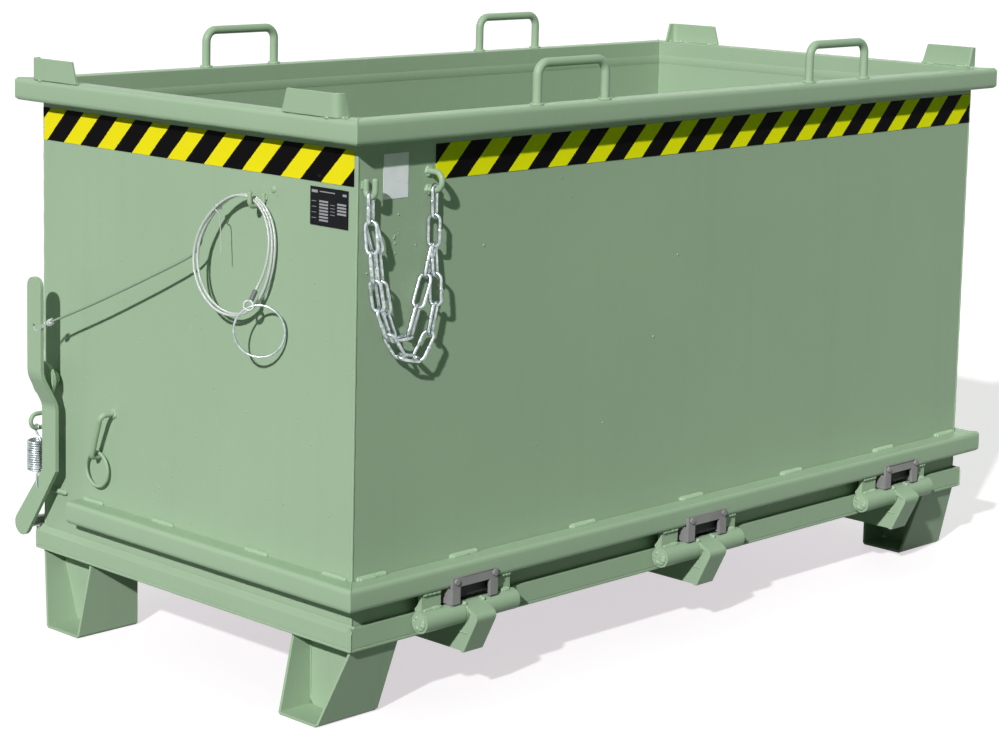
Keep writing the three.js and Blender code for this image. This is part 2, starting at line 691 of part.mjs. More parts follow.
// Latch shaft with two claws that reach under the flap's free edge
function latch_claw(x) {
  const shank_in = tray_y + claw.gap;
  const shank_out = shank_in + claw.shank;
  const nose_top = tray.bottom - claw.under;
  const outline = [
    flat(shank_in, shaft_height),
    flat(shank_in, nose_top),
    flat(tray_y - claw.nose, nose_top),
    flat(tray_y - claw.nose, nose_top - claw.nose_height / 2),
    flat(shank_in, nose_top - claw.nose_height),
    flat(shank_out, nose_top - claw.nose_height),
    flat(shaft_y + claw.hub_radius, shaft_height),
  ];
  return prism("x", outline, x - shaft.hook_width / 2, x + shaft.hook_width / 2);
}
function latch_shaft() {
  const start = lever_back + seam;
  const bar = cylinder("x", v((start + shaft.far_end) / 2, shaft_y, shaft_height), shaft.radius,
    shaft.far_end - start, 20);
  return joined(bar, latch_claw(-shaft.hook_spacing / 2), latch_claw(shaft.hook_spacing / 2));
}
add("latch_shaft", latch_shaft(), steel);
[-shaft.first_bearing, 0, shaft.last_bearing].forEach((x, i) => {
  const half = shaft.bearing_width / 2;
  const bearing_y = [shaft_y - bearing.reach_in, shaft_y + bearing.reach_out];
  const plate = block([x - half, x + half], bearing_y, [shaft_height - bearing.reach_down, plate_top]);
  const bore = cylinder("x", v(x, shaft_y, shaft_height), shaft.bore, shaft.bearing_width + overrun, 24);
  add(`shaft_bearing_${i + 1}`, cut(plate, bore), paint);
});

// Half rings of rod welded to a wall: out, round and back at a lower height
function half_ring(start, out, legs, reach, radius) {
  const corner = start.clone().addScaledVector(out, reach - radius);
  const drop = v(0, 0, -legs);
  const points = [start, corner, corner.clone().add(drop), start.clone().add(drop)];
  return tube(rounded(points, legs / 2, 5), radius, 10);
}
add("spring_eye", half_ring(v(end_face, eye_y, eye_height + eye.legs / 2), v(-1, 0, 0), eye.legs,
  eye.reach, eye.rod_radius), paint);
add("chain_eye", half_ring(v(-chain_eye_x, side_face, chain_eye_height + chain_eye.legs / 2), v(0, -1, 0),
  chain_eye.legs, chain_eye.reach, chain_eye.rod_radius), paint);

// Open hooks of rod: down the wall, out, and up again
function open_hook(weld, out, span, drop, rise, bend, radius) {
  const low = weld.clone().add(v(0, 0, -drop));
  const front = low.clone().addScaledVector(out, span);
  const points = [weld, low, front, front.clone().add(v(0, 0, rise))];
  return tube(rounded(points, bend, 5), radius, 10);
}
const rope_hook_x = end_face - rope_hook.rod_radius;
const rope_hook_weld = v(rope_hook_x, -rope_hook.y, rope_hook_bottom + rope_hook.back_rise);
add("rope_hook", open_hook(rope_hook_weld, v(-1, 0, 0), rope_hook.span, rope_hook.back_rise, rope_hook.rise,
  rope_hook.bend, rope_hook.rod_radius), paint);
const chain_hook_y = side_face - chain_hook.rod_radius;
const chain_hook_weld = v(-chain_hook_x, chain_hook_y, chain_hook_bottom + chain_hook.back_rise);
add("chain_hook", open_hook(chain_hook_weld, v(0, -1, 0), chain_hook.span, chain_hook.back_rise,
  chain_hook.rise, chain_hook.bend, chain_hook.rod_radius), paint);

// Parking rod for the free end of the rope, with its loose ring
const peg_x = -wall_x - park.peg_out;
add("park_rod", tube(rounded([
  v(end_face, park.y, park.weld_height),
  v(-wall_x - park.elbow_out, park.y, park.weld_height),
  v(peg_x, peg_y, peg_height),
  v(-wall_x - park.peg_gap, peg_y, peg_height),
], park.bend, 4), park.rod_radius, 10), paint);
const ring_centre = peg_height + park.rod_radius + seam + park.ring_wire - park.ring_radius;
const park_ring = new THREE.TorusGeometry(park.ring_radius, park.ring_wire, 8, 32);
add("park_ring", park_ring.rotateY(Math.PI / 2)
  .translate(-wall_x - park.ring_out, peg_y, ring_centre), paint);

// The least distance between parts of one tube that are more than a turn's share apart along it
function least_gap(points, radius, skip) {
  let least = Infinity;
  points.forEach((p, i) => {
    for (let k = i + skip; k < points.length; k += 1) least = Math.min(least, p.distanceTo(points[k]));
  });
  return least - 2 * radius;
}

// Return spring: one wire from the lever's hole, through its turns, to its hook on the eye
function return_spring() {
  const axis_x = -wall_x - spring.reach;
  const steps = 8 * spring.turns;
  const turn_points = Array.from({ length: steps + 1 }, (_, k) => {
    const angle = (2 * Math.PI * k) / 8;
    const rise = (spring_top - spring_bottom) * (k / steps);
    return v(axis_x - spring.radius * Math.sin(angle), spring_y - spring.radius * Math.cos(angle),
      spring_bottom + rise);
  });
  const over = eye.rod_radius + seam + spring.wire_radius;
  const leg_z = eye_height - eye.legs / 2;
  const front = lever_front - seam - spring.wire_radius;
  const lower = [
    v(lever_back + 2 * spring.wire_radius, hole_y, hole_height),
    v(front, hole_y, hole_height),
    v(front, hole_y, spring_bottom - spring.lead),
  ];
  const hook = Array.from({ length: 7 }, (_, k) => {
    const angle = -Math.PI / 4 + (Math.PI * 1.25 * k) / 6;
    return v(axis_x, eye_y + over * Math.cos(angle), leg_z + over * Math.sin(angle));
  });
  const points = [...rounded(lower, 1.5 * spring.wire_radius, 3), ...turn_points, ...hook];
  console.log("return spring, least gap to itself:", least_gap(points, spring.wire_radius, 5).toFixed(2));
  return tube(points, spring.wire_radius, 5);
}
add("return_spring", return_spring(), zinc);

// Chain: links of bent wire placed end to end along a route, each turned a quarter from the last
function chain_link(from, to, across) {
  const way = to.clone().sub(from);
  const half = way.length() / 2 + chain.wire_radius - chain.bite - chain.half_width;
  const middle = from.clone().add(to).multiplyScalar(0.5);
  way.normalize();
  const side = across.clone().addScaledVector(way, -across.dot(way)).normalize();
  const steps = 4;
  const centre_line = both.flatMap((end) => Array.from({ length: steps + 1 }, (_, k) => {
    const angle = (Math.PI * k) / steps;
    return middle.clone()
      .addScaledVector(way, end * (half + chain.half_width * Math.sin(angle)))
      .addScaledVector(side, end * chain.half_width * Math.cos(angle));
  }));
  const normal = way.clone().cross(side);
  const sides = 6;
  const count = centre_line.length;
  const positions = centre_line.flatMap((p, i) => {
    const next = centre_line[(i + 1) % count];
    const before = centre_line[(i + count - 1) % count];
    const outward_way = next.clone().sub(before).normalize().cross(normal);
    return Array.from({ length: sides }, (_, k) => {
      const angle = (2 * Math.PI * k) / sides;
      return p.clone().addScaledVector(outward_way, chain.wire_radius * Math.cos(angle))
        .addScaledVector(normal, chain.wire_radius * Math.sin(angle)).toArray();
    }).flat();
  });
  const index = centre_line.flatMap((_, i) => Array.from({ length: sides }, (__, k) => {
    const a = i * sides + k;
    const b = i * sides + ((k + 1) % sides);
    const c = ((i + 1) % count) * sides + k;
    const d = ((i + 1) % count) * sides + ((k + 1) % sides);
    return [a, b, c, b, d, c];
  }).flat());
  const geometry = new THREE.BufferGeometry();
  geometry.setAttribute("position", new THREE.BufferAttribute(new Float32Array(positions), 3));
  geometry.setIndex(new THREE.BufferAttribute(new Uint32Array(index), 1));
  return outward(geometry);
}

// Links along a route, each turned a quarter from the last, the first one nearly square to its eye
const degrees = Math.PI / 180;
const link_turn = chain.turn * degrees;
const link_ways = [
  v(Math.cos(link_turn), Math.sin(link_turn), 0),
  v(-Math.sin(link_turn), Math.cos(link_turn), 0),
];
function chain_strand(route, count, first_way) {
  const joints = new THREE.CatmullRomCurve3(route).getSpacedPoints(count);
  return Array.from({ length: count }, (_, i) =>
    chain_link(joints[i], joints[i + 1], link_ways[(i + first_way) % 2]));
}

// The chain is doubled: two links from its eye, two strands round the bottom, one link on its hook
const hanging_y = side_face - chain.out;
const rest_drop = chain.bite + chain.saddle;
const left_top = v(-chain_hook_x, chain_hook_y - chain_hook.span / 2,
  chain_hook_bottom + chain_hook.rod_radius + seam + rest_drop);
const right_top = v(-chain_eye_x, hanging_y,
  chain_eye_height - chain_eye.legs / 2 + chain_eye.rod_radius + seam + rest_drop);
const right_fork = right_top.clone().add(v(0, 0, -2 * chain.pitch));
function strand_point(share, y) {
  return v(
    -THREE.MathUtils.lerp(chain_eye_x, chain_hook_x, share.along),
    y,
    right_fork.z - chain.depth * share.down,
  );
}
const left_fork = strand_point(left_fork_share, hanging_y);
function strand(shares, y, count) {
  const points = shares.map((share) => strand_point(share, y));
  return chain_strand([right_fork, ...points, left_fork], count, 0);
}
add("chain", joined(
  ...chain_strand([right_top, right_fork], 2, 0),
  ...strand(inner_strand_shares, hanging_y, chain.inner_links),
  ...strand(outer_strand_shares, hanging_y - chain.strand_gap, chain.outer_links),
  ...chain_strand([left_fork, left_top], 1, 0),
), zinc);

// The origin lies on the ground under the middle of all that isn't rope or hanging on it
const extent = new THREE.Box3().setFromObject(bin, true);

// Rope coil: the turns lie side by side in the hook and sag round, leaning out towards the lever;
// the end turns out to the ferrule
const coil_x = -wall_x - coil.wall_distance;
const hook_from_coil = flat((-rope_hook.y - coil_y) / coil.narrow, rope_hook_bottom - coil_height);
const hook_angle = Math.atan2(hook_from_coil.y, hook_from_coil.x);
const chord = Math.cos(Math.PI / rope.steps_per_turn);
const hook_radius = (hook_from_coil.length() + rope_hook.rod_radius + coil.lift + rope.radius) / chord;
const pull_drop = coil.pull_drop * degrees;
const pull_way = v(-Math.cos(pull_drop), 0, -Math.sin(pull_drop));
function coil_points() {
  const first = coil.start_angle * degrees;
  const last = (coil.end_angle + 360 * coil.whole_turns) * degrees;
  const count = Math.round(((last - first) / (2 * Math.PI)) * rope.steps_per_turn);
  const turns = Array.from({ length: count + 1 }, (_, k) => {
    const angle = first + ((last - first) * k) / count;
    const away = Math.atan2(Math.sin(angle - hook_angle), Math.cos(angle - hook_angle)) / coil.peak_width;
    const left = Math.min((last - angle) / (coil.narrowing * degrees), 1);
    const drawn_in = (1 - left) ** 2 * (coil.radius - coil.end_radius);
    const near_hook = Math.exp(-away * away);
    const free = coil.radius - drawn_in + coil.wander * Math.sin(angle * coil.wander_turn_share);
    const radius = THREE.MathUtils.lerp(free, hook_radius, near_hook);
    const aside = coil.narrow * radius * Math.cos(angle);
    const out = (coil.pitch * (angle - first)) / (2 * Math.PI)
      + coil.lean * (aside + coil.narrow * coil.radius);
    return v(coil_x - out, coil_y + aside, coil_height + radius * Math.sin(angle));
  });
  const end = turns[turns.length - 1];
  const out = run_out_shares.map((share) => end.clone()
    .addScaledVector(v(0, 1, -1), rope.radius * share.aside)
    .addScaledVector(pull_way, rope.radius * share.along));
  return [...turns, ...out];
}
const coil_route = coil_points();
console.log("rope coil, least gap to itself:", least_gap(coil_route, rope.radius, 12).toFixed(2));
add("rope_coil", tube(coil_route, rope.radius, rope.coil_sides), grey_rope);

// Rope stretch from the lever to the coil, and the knot beside the lever
const coil_start = coil_route[0];
const arrival = coil_route[1].clone().sub(coil_start).normalize();
const stretch_end = coil_start.clone().addScaledVector(arrival, -seam);
const stretch_start = v(lever_head - stretch.out, lever_y - lever.width / 2 - stretch.aside,
  lever.rope_hole + stretch.above_hole);
const stretch_line = stretch_shares.map((share) => v(
  THREE.MathUtils.lerp(stretch_start.x, coil_start.x, share.out),
  THREE.MathUtils.lerp(stretch_start.y, coil_start.y, share.along),
  THREE.MathUtils.lerp(stretch_start.z, coil_start.z, share.up),
));
const stretch_curve = new THREE.CatmullRomCurve3([
  ...stretch_line,
  stretch_end.clone().addScaledVector(arrival, -2 * rope.radius),
  stretch_end,
]);
const leave = stretch_curve.getTangent(0);
const stretch_points = stretch_curve.getSpacedPoints(rope.stretch_steps);
add("rope_stretch", tube(stretch_points, rope.radius, rope.stretch_sides), grey_rope);

// A turned body along a stated direction that starts at a point
function along(geometry, start, way) {
  const turn = new THREE.Quaternion().setFromUnitVectors(v(0, 1, 0), way);
  return geometry.applyQuaternion(turn).translate(start.x, start.y, start.z);
}
const knot_profile = knot_shares.map((share, k) =>
  new THREE.Vector2(knot.radius * share, (knot.length * k) / (knot_shares.length - 1)));
const knot_start = stretch_line[0].clone().addScaledVector(leave, -seam);
const knot_form = new THREE.LatheGeometry(knot_profile, 12);
add("rope_knot", along(knot_form, knot_start, leave.clone().negate()), grey_rope);

// Ferrule with a rope eye, and the pull ring that hangs in it
const ferrule_start = coil_route[coil_route.length - 1].clone().addScaledVector(pull_way, seam);
const ring_turn = pull_ring.turn * degrees;
const ring_side = v(-Math.sin(ring_turn), Math.cos(ring_turn), 0);
const ring_face = v(Math.cos(ring_turn), Math.sin(ring_turn), 0);
const eye_centre = ferrule_start.clone().addScaledVector(pull_way, ferrule.length + ferrule.eye_radius);
function rope_ferrule() {
  const sleeve = along(new THREE.CylinderGeometry(ferrule.radius, ferrule.radius, ferrule.length, 12)
    .translate(0, ferrule.length / 2, 0), ferrule_start, pull_way);
  const loop_ring = new THREE.TorusGeometry(ferrule.eye_radius, rope.radius, 8, 16);
  const facing = new THREE.Matrix4().makeBasis(ring_face, v(0, 0, 1), ring_side.clone().negate());
  loop_ring.applyMatrix4(facing.setPosition(eye_centre));
  return joined(sleeve, loop_ring);
}
add("rope_ferrule", rope_ferrule(), grey_rope);
const seat = ferrule.eye_radius - rope.radius - ferrule.slack - pull_ring.wire_radius;
const hang = new THREE.Vector3().addScaledVector(ring_side, -Math.sin(pull_ring.tilt * degrees))
  .addScaledVector(v(0, 0, 1), -Math.cos(pull_ring.tilt * degrees));
const pull_centre = eye_centre.clone().addScaledVector(v(0, 0, -1), seat)
  .addScaledVector(hang, pull_ring.radius);
const pull_torus = new THREE.TorusGeometry(pull_ring.radius, pull_ring.wire_radius, 8, 36);
const pull_facing = new THREE.Matrix4().makeBasis(ring_side, v(0, 0, 1), ring_face);
pull_torus.applyMatrix4(pull_facing.setPosition(pull_centre));
add("pull_ring", pull_torus, zinc);

bin.position.set(-(extent.min.x + extent.max.x) / 2, -(extent.min.y + extent.max.y) / 2, -extent.min.z);

export default bin;
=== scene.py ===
"""Dresses a drop bottom bin: green paint, welds, warning tape, chain, wire rope and a pale stage."""
import json
import random
from math import atan2, cos, exp, hypot, pi, radians, remainder, sin, sqrt, tan

import bmesh
import bpy
from mathutils import Matrix, Vector


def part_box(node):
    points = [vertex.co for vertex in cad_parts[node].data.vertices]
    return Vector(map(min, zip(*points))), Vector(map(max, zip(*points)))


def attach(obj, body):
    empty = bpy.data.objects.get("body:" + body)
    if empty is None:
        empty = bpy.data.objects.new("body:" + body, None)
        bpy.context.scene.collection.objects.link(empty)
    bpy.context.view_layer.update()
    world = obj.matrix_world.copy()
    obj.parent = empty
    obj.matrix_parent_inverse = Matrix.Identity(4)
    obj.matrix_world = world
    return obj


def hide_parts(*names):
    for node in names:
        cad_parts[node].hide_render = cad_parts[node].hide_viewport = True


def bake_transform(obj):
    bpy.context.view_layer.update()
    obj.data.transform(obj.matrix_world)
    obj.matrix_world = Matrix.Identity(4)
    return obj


bl_info = {
    "name": "Drop bottom bin",
    "version": (1, 0, 0),
    "blender": (4, 5, 0),
    "location": "3D View > Sidebar > Bin",
    "description": "Makes the painted, welded and roped look of a drop bottom bin",
    "category": "Object",
}

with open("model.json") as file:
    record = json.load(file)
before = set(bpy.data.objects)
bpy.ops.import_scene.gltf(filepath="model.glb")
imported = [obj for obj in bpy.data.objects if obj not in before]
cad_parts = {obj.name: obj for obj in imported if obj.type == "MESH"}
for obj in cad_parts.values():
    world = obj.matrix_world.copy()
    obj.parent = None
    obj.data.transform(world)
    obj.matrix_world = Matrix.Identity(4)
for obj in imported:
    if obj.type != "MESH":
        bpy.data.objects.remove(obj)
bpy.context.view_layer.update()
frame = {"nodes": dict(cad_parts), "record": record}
BODY_OF = {
    node: body
    for body, nodes in frame["record"]["behaviour"]["bodies"].items()
    for node in nodes
}
SLOT_OF = {part["node"]: part["material_slot"] for part in frame["record"]["subparts"]}
MM = 0.001
RIM_LOW, RIM_HIGH = (Vector(corner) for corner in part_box("rim"))
RIM_MIDDLE = (RIM_LOW + RIM_HIGH) / 2
UP = Vector((0, 0, 1))
LEFT, FRONT = Vector((-1, 0, 0)), Vector((0, -1, 0))
CORNERS = ((-1, -1), (-1, 1), (1, -1), (1, 1))
WHITE = (1, 1, 1, 1)


def at(x, y, z):
    """A place in the frame, from millimetres off the middle of the rim and above the ground."""
    return Vector((RIM_MIDDLE.x + x * MM, RIM_MIDDLE.y + y * MM, z * MM))


def in_metres(*pairs):
    """Pairs of millimetres as pairs of metres."""
    return [(first * MM, second * MM) for first, second in pairs]


def srgb(red, green, blue):
    """A colour as read off a screen, 0 to 255, as Blender's linear colour."""

    def linear(value):
        share = value / 255
        return share / 12.92 if share <= 0.04045 else ((share + 0.055) / 1.055) ** 2.4

    return (linear(red), linear(green), linear(blue), 1.0)


# Sizes of the bin in millimetres, from the middle of the rim

WALL_X, WALL_Y = 847, 413
RIM_X, RIM_Y, RIM_TOP, RIM_TUBE = 884, 450, 1000, 40
FLANGE_TOP = 250
HINGE_X = (-604.7, 0, 604.7)
HINGE_Y, HINGE_Z = -444, 164
LOOP_X, LOOP_HALF, LOOP_TOP, LOOP_BEND, BAR_RADIUS = 371, 85, 1070, 22, 8


# Settings that a user would change


def colour_setting(name, description, rgb):
    return bpy.props.FloatVectorProperty(
        name=name, description=description, subtype="COLOR", size=4, min=0, max=1, default=srgb(*rgb)
    )


def length_setting(name, description, value):
    return amount_setting(name, description, value, unit="LENGTH", precision=4)


def amount_setting(name, description, value, **limits):
    return bpy.props.FloatProperty(name=name, description=description, default=value, min=0, **limits)


class PaintSettings(bpy.types.PropertyGroup):
    green: colour_setting("Green", "Colour of the paint on the bin", (156, 178, 151))
    green_pale: colour_setting("Pale green", "Where the paint lies thin or is bleached", (167, 189, 161))
    green_dull: colour_setting("Dull green", "Where dust and runs have dulled the paint", (140, 162, 133))
    grey: colour_setting("Grey", "Colour of the buffer housings", (140, 136, 139))
    yellow: colour_setting("Yellow", "Light stripes of the warning tape", (243, 226, 28))
    # A brighter copy of the tape's yellow for the long sides: painted light that makes up for the weaker
    # key light on them.
    yellow_long_painted_light: colour_setting("Long-side yellow with painted light", "Brighter light stripes on the long sides", (255, 252, 18))
    black: colour_setting("Black", "Dark stripes of the warning tape", (15, 13, 15))
    roughness: amount_setting("Roughness", "How matt the green paint is", 0.45, max=1)


class StripeSettings(bpy.types.PropertyGroup):
    pitch: length_setting("Pitch", "From one yellow stripe to the next along the tape", 0.0972)


class WeldSettings(bpy.types.PropertyGroup):
    ripple: length_setting("Ripple", "From one scale of the bead to the next", 0.004)


class RopeSettings(bpy.types.PropertyGroup):
    diameter: length_setting("Diameter", "Diameter of the wire rope", 0.0045)
    lay: length_setting("Lay", "Length of one turn of the rope's strands", 0.016)
    colour: colour_setting("Colour", "Colour of the rope's clear sheath over its wires", (214, 219, 216))


class ChainSettings(bpy.types.PropertyGroup):
    wire: length_setting("Wire", "Diameter of the wire of a link", 0.006)
    width: length_setting("Width", "Width of a link between its wires' middles", 0.0195)


class StageSettings(bpy.types.PropertyGroup):
    floor: colour_setting("Floor", "Colour of the floor", (190, 190, 190))
    sun: amount_setting("Key light", "Light on a surface square to the key lamp", 1.15)
    behind: amount_setting("Back light", "Light on a surface square to the back lamp", 0.42)
    sky: amount_setting("Sky light", "Light from straight above", 0.5)
    sky_colour: colour_setting("Sky colour", "Tint of the light that fills the shadows", (205, 255, 210))


# Materials


class Value:
    """A number or colour inside a material, which takes part in sums."""

    def __init__(self, finish, socket):
        self.finish, self.socket = finish, socket

    def maths(self, operation, first, second):
        return self.finish.node("Math", {"operation": operation}, {0: first, 1: second})

    def __add__(self, other):
        return self.maths("ADD", self, other)

    __radd__ = __add__

    def __sub__(self, other):
        return self.maths("SUBTRACT", self, other)

    def __rsub__(self, other):
        return self.maths("SUBTRACT", other, self)

    def __mul__(self, other):
        return self.maths("MULTIPLY", self, other)

    __rmul__ = __mul__

    def __truediv__(self, other):
        return self.maths("DIVIDE", self, other)

    def __rtruediv__(self, other):
        return self.maths("DIVIDE", other, self)

    def __pow__(self, other):
        return self.maths("POWER", self, other)

    def __lt__(self, other):
        return self.maths("LESS_THAN", self, other)

    def __gt__(self, other):
        return self.maths("GREATER_THAN", self, other)

    def fraction(self):
        return self.maths("FRACT", self, 0)

    def sine(self):
        return self.maths("SINE", self, 0)

    def at_least(self, other):
        return self.maths("MAXIMUM", self, other)


class Finish:
    """A material or a sky being made, with its shader and one way to add any node."""

    def __init__(self, name, kind="materials", shader="Principled BSDF", **shader_values):
        self.made = getattr(bpy.data, kind).new(name)
        self.made.use_nodes = True
        self.tree = self.made.node_tree
        self.shader = self.tree.nodes[shader]
        self.set(**shader_values)

    def set(self, **shader_values):
        for name, value in shader_values.items():
            self.feed(self.shader.inputs[name.replace("_", " ").title().replace("Ior", "IOR")], value)

    def feed(self, socket, value):
        if isinstance(value, Value):
            self.tree.links.new(value.socket, socket)
        else:
            socket.default_value = value

    def node(self, kind, settings=None, sockets=None, output=0):
        """Adds a shader node of a type, such as Math, its settings, and its sockets' values or links."""
        node = self.tree.nodes.new("ShaderNode" + kind)
        for name, value in (settings or {}).items():
            setattr(node, name, value)
        for name, value in (sockets or {}).items():
            self.feed(node.inputs[name], value)
        return Value(self, node.outputs[output])

    def place(self):
        """Where a point is, in metres in the frame."""
        return self.node("TexCoord", output="Object")

    def along(self, way):
        """How far a point lies along a direction, in metres."""
        return self.node("VectorMath", {"operation": "DOT_PRODUCT"}, {0: self.place(), 1: way}, "Value")

    def stretched(self, factors):
        return self.node("VectorMath", {"operation": "MULTIPLY"}, {0: self.place(), 1: factors})

    def noise(self, scale, detail, stretch=(1, 1, 1)):
        place = self.stretched(stretch)
        return self.node("TexNoise", {}, {"Vector": place, "Scale": scale, "Detail": detail})

    def spots(self, scale, output="Distance"):
        return self.node("TexVoronoi", {}, {"Vector": self.place(), "Scale": scale}, output)

    def mix(self, first, second, share):
        settings = {"data_type": "RGBA", "clamp_factor": True}
        return self.node("Mix", settings, {0: share, 6: first, 7: second}, 2)

    def bump(self, height, distance, strength):
        sockets = {"Strength": strength, "Distance": distance, "Height": height}
        self.set(Normal=self.node("Bump", {}, sockets, "Normal"))

    def seen(self):
        """1 to a ray from the camera or a reflection, 0 to a ray that only brings light."""
        kinds = ("Camera", "Glossy", "Transmission")
        camera, glossy, clear = (self.node("LightPath", output=f"Is {kind} Ray") for kind in kinds)
        return camera.at_least(glossy).at_least(clear)


def clouded(name, first, second, cloud, share, roughness, grain, **shader_values):
    """A finish of two colours in clouds, with a roughness that follows the clouds and a fine grain.

    The cloud holds its noise's scale and detail. The share of the second colour and the roughness
    are each a start and a gain over the cloud. The grain holds its noise, its depth and its strength.
    """
    finish = Finish(name, **shader_values)
    cloud = finish.noise(*cloud)
    finish.set(
        Base_Color=finish.mix(first, second, (cloud - share[0]) * share[1]),
        Roughness=cloud * roughness[1] + roughness[0],
    )
    noise, depth, strength = grain
    finish.bump(finish.noise(*noise) if noise else cloud, depth, strength)
    return finish.made


def spatter_height(finish, scale, share, size):
    """Small domes in a share of the cells of a cell pattern."""
    cell = finish.spots(scale, "Color")
    chosen = finish.node("SeparateColor", {}, {0: cell}, "Red") < share
    return chosen * (1 - finish.spots(scale) / size).at_least(0)


def green_paint(scene):
    paint = scene.bin_paint
    finish = Finish("green paint", Coat_Roughness=0.2, Specular_IOR_Level=0.2)
    cloud = finish.noise(2.6, 4)
    run = finish.noise(1.0, 3, (34, 34, 1.6))
    speck = finish.noise(420, 1)
    pale = finish.mix(tuple(paint.green), tuple(paint.green_pale), (cloud - 0.45) * 1.2)
    dull = finish.mix(pale, tuple(paint.green_dull), (run - 0.55) * 0.5)
    scuffs = (finish.noise(55, 5, (1, 1, 0.35)) > 0.71) * 0.35
    finish.set(
        Base_Color=finish.mix(dull, tuple(paint.green_pale), scuffs + (speck - 0.5) * 0.25),
        Roughness=paint.roughness + (cloud - 0.5) * 0.16 + (speck - 0.5) * 0.1,
        Coat_Weight=0.06,
    )
    peel = finish.noise(330, 2) * 0.28
    waves = finish.noise(5, 1) * 1.4
    finish.bump(peel + waves + spatter_height(finish, 42, 0.05, 0.11) * 1.4, 0.0012, 0.5)
    return finish.made


def grey_paint(scene):
    return clouded(
        "grey paint", tuple(scene.bin_paint.grey), srgb(116, 112, 115), (30, 4), (0.4, 1.2),
        (0.295, 0.25), ((700, 2), 0.0003, 0.5), Specular_IOR_Level=0.4,
    )


def warning_tape(scene, name, way, start, bright):
    """Slanting stripes, yellow from a start along a direction and repeating with the pitch."""
    paint = scene.bin_paint
    finish = Finish(name, Specular_IOR_Level=0.02)
    turn = (finish.along(way) - start) / scene.bin_stripes.pitch
    wobble = (finish.noise(60, 2) - 0.5) * 0.02
    yellow = (turn + wobble + 100).fraction() < 0.49
    worn = (finish.noise(26, 5) > 0.7) * 0.05
    # On the long sides the light stripes take the brighter yellow: painted light for the weaker light
    # there.
    light = tuple(paint.yellow_long_painted_light if bright else paint.yellow)
    stripes = finish.mix(tuple(paint.black), light, yellow)
    finish.set(
        Base_Color=finish.mix(stripes, srgb(150, 148, 110), worn),
        Roughness=0.5 + finish.noise(40, 3) * 0.2,
    )
    finish.bump(finish.noise(900, 1) + finish.noise(18, 2) * 2, 0.0003, 0.4)
    return finish.made


def black_rubber(scene):
    finish = Finish("black rubber", Specular_IOR_Level=0.35)
    cloud = finish.noise(90, 5)
    finish.set(
        Base_Color=finish.mix(srgb(36, 36, 38), srgb(66, 68, 69), (cloud - 0.35) * 1.3),
        Roughness=0.62 + cloud * 0.3,
    )
    finish.bump(finish.noise(500, 3) + finish.noise(60, 2) * 1.5, 0.0005, 0.7)
    return finish.made


def zinc(scene):
    # The darker greenish-grey clouds are partly the zinc's own patchy tone and partly painted reflection
    # of the dark green wall.
    return clouded(
        "bright zinc", srgb(206, 214, 216), srgb(118, 130, 132), (160, 4), (0.38, 2.4), (0.16, 0.3),
        ((900, 2), 0.0002, 0.5), Metallic=1.0,
    )


def bare_steel(scene):
    finish = Finish("bare steel")
    cloud = finish.noise(40, 5)
    rust = (finish.noise(75, 6) > 0.66) * 0.6
    finish.set(
        Base_Color=finish.mix(
            finish.mix(srgb(172, 174, 176), srgb(140, 142, 145), cloud), srgb(120, 84, 58), rust
        ),
        Metallic=1 - rust,
        Roughness=0.34 + cloud * 0.2 + rust * 0.3,
    )
    finish.bump(finish.noise(600, 3), 0.0003, 0.5)
    return finish.made


def black_plate(scene):
    return clouded(
        "black plate", srgb(13, 13, 15), srgb(26, 27, 30), (120, 4), (0, 1), (0.4, 0.15),
        ((800, 1), 0.0002, 0.4), Specular_IOR_Level=0.08,
    )


def plate_field(scene):
    return clouded(
        "blank plate field", srgb(168, 170, 174), srgb(140, 142, 147), (1.0, 3, (900, 40, 900)), (0, 1),
        (0.35, 0.2), (None, 0.0001, 0.5), Metallic=0.6,
    )


def paper_label(scene):
    finish = Finish("blank label", Coat_Roughness=0.3, Coat_Weight=0.15)
    stain = finish.noise(38, 5)
    scratch = (finish.noise(1.0, 4, (60, 400, 400)) > 0.69) * 0.4
    finish.set(
        Base_Color=finish.mix(
            finish.mix(srgb(252, 252, 255), srgb(230, 233, 240), stain), srgb(168, 172, 178), scratch
        ),
        Roughness=0.45 + stain * 0.2,
    )
    finish.bump(finish.noise(30, 3), 0.0006, 0.5)
    return finish.made


def wire_rope(scene, name="wire rope", colour=None, gloss=1.0):
    """Twisted wires under a clear sheath, drawn by how far round and along the rope a point is."""
    rope = scene.bin_rope
    finish = Finish(name, Coat_Roughness=0.12, Coat_Weight=0.4 * gloss, Specular_IOR_Level=0.5 * gloss)
    round_and_along = finish.node("UVMap", {"uv_map": "round_and_along"})
    across = finish.node("SeparateXYZ", {}, {0: round_and_along}, "X")
    length = finish.node("SeparateXYZ", {}, {0: round_and_along}, "Y")
    strand = ((length / rope.lay + across) * (6 * 2 * pi)).sine()
    # The grooves between the strands are painted darker: painted shade in the grooves, which also sets
    # their roughness and gloss.
    painted_groove_shade = (strand * -0.5 + 0.5) * 0.45
    finish.set(
        Base_Color=finish.mix(colour or tuple(rope.colour), srgb(128, 136, 133), painted_groove_shade),
        Roughness=(0.7 - 0.42 * gloss) + painted_groove_shade * 0.3,
        Metallic=(0.25 - painted_groove_shade * 0.2) * gloss,
    )
    finish.bump(strand, 0.0003, 0.6)
    return finish.made


def rope_with_painted_shade(scene):
    """The rope's free stretch, in a copy of the rope's finish dulled to nearly the colour of the paint:
    painted shade for a stretch that the light hardly catches.
    """
    return wire_rope(scene, "wire rope with painted shade", srgb(158, 180, 154), 0.1)


def dark_sleeve(scene):
    return clouded(
        "dark sleeve", srgb(78, 82, 84), srgb(116, 120, 122), (300, 3), (0, 1), (0.4, 0.2),
        (None, 0.0004, 0.6),
    )


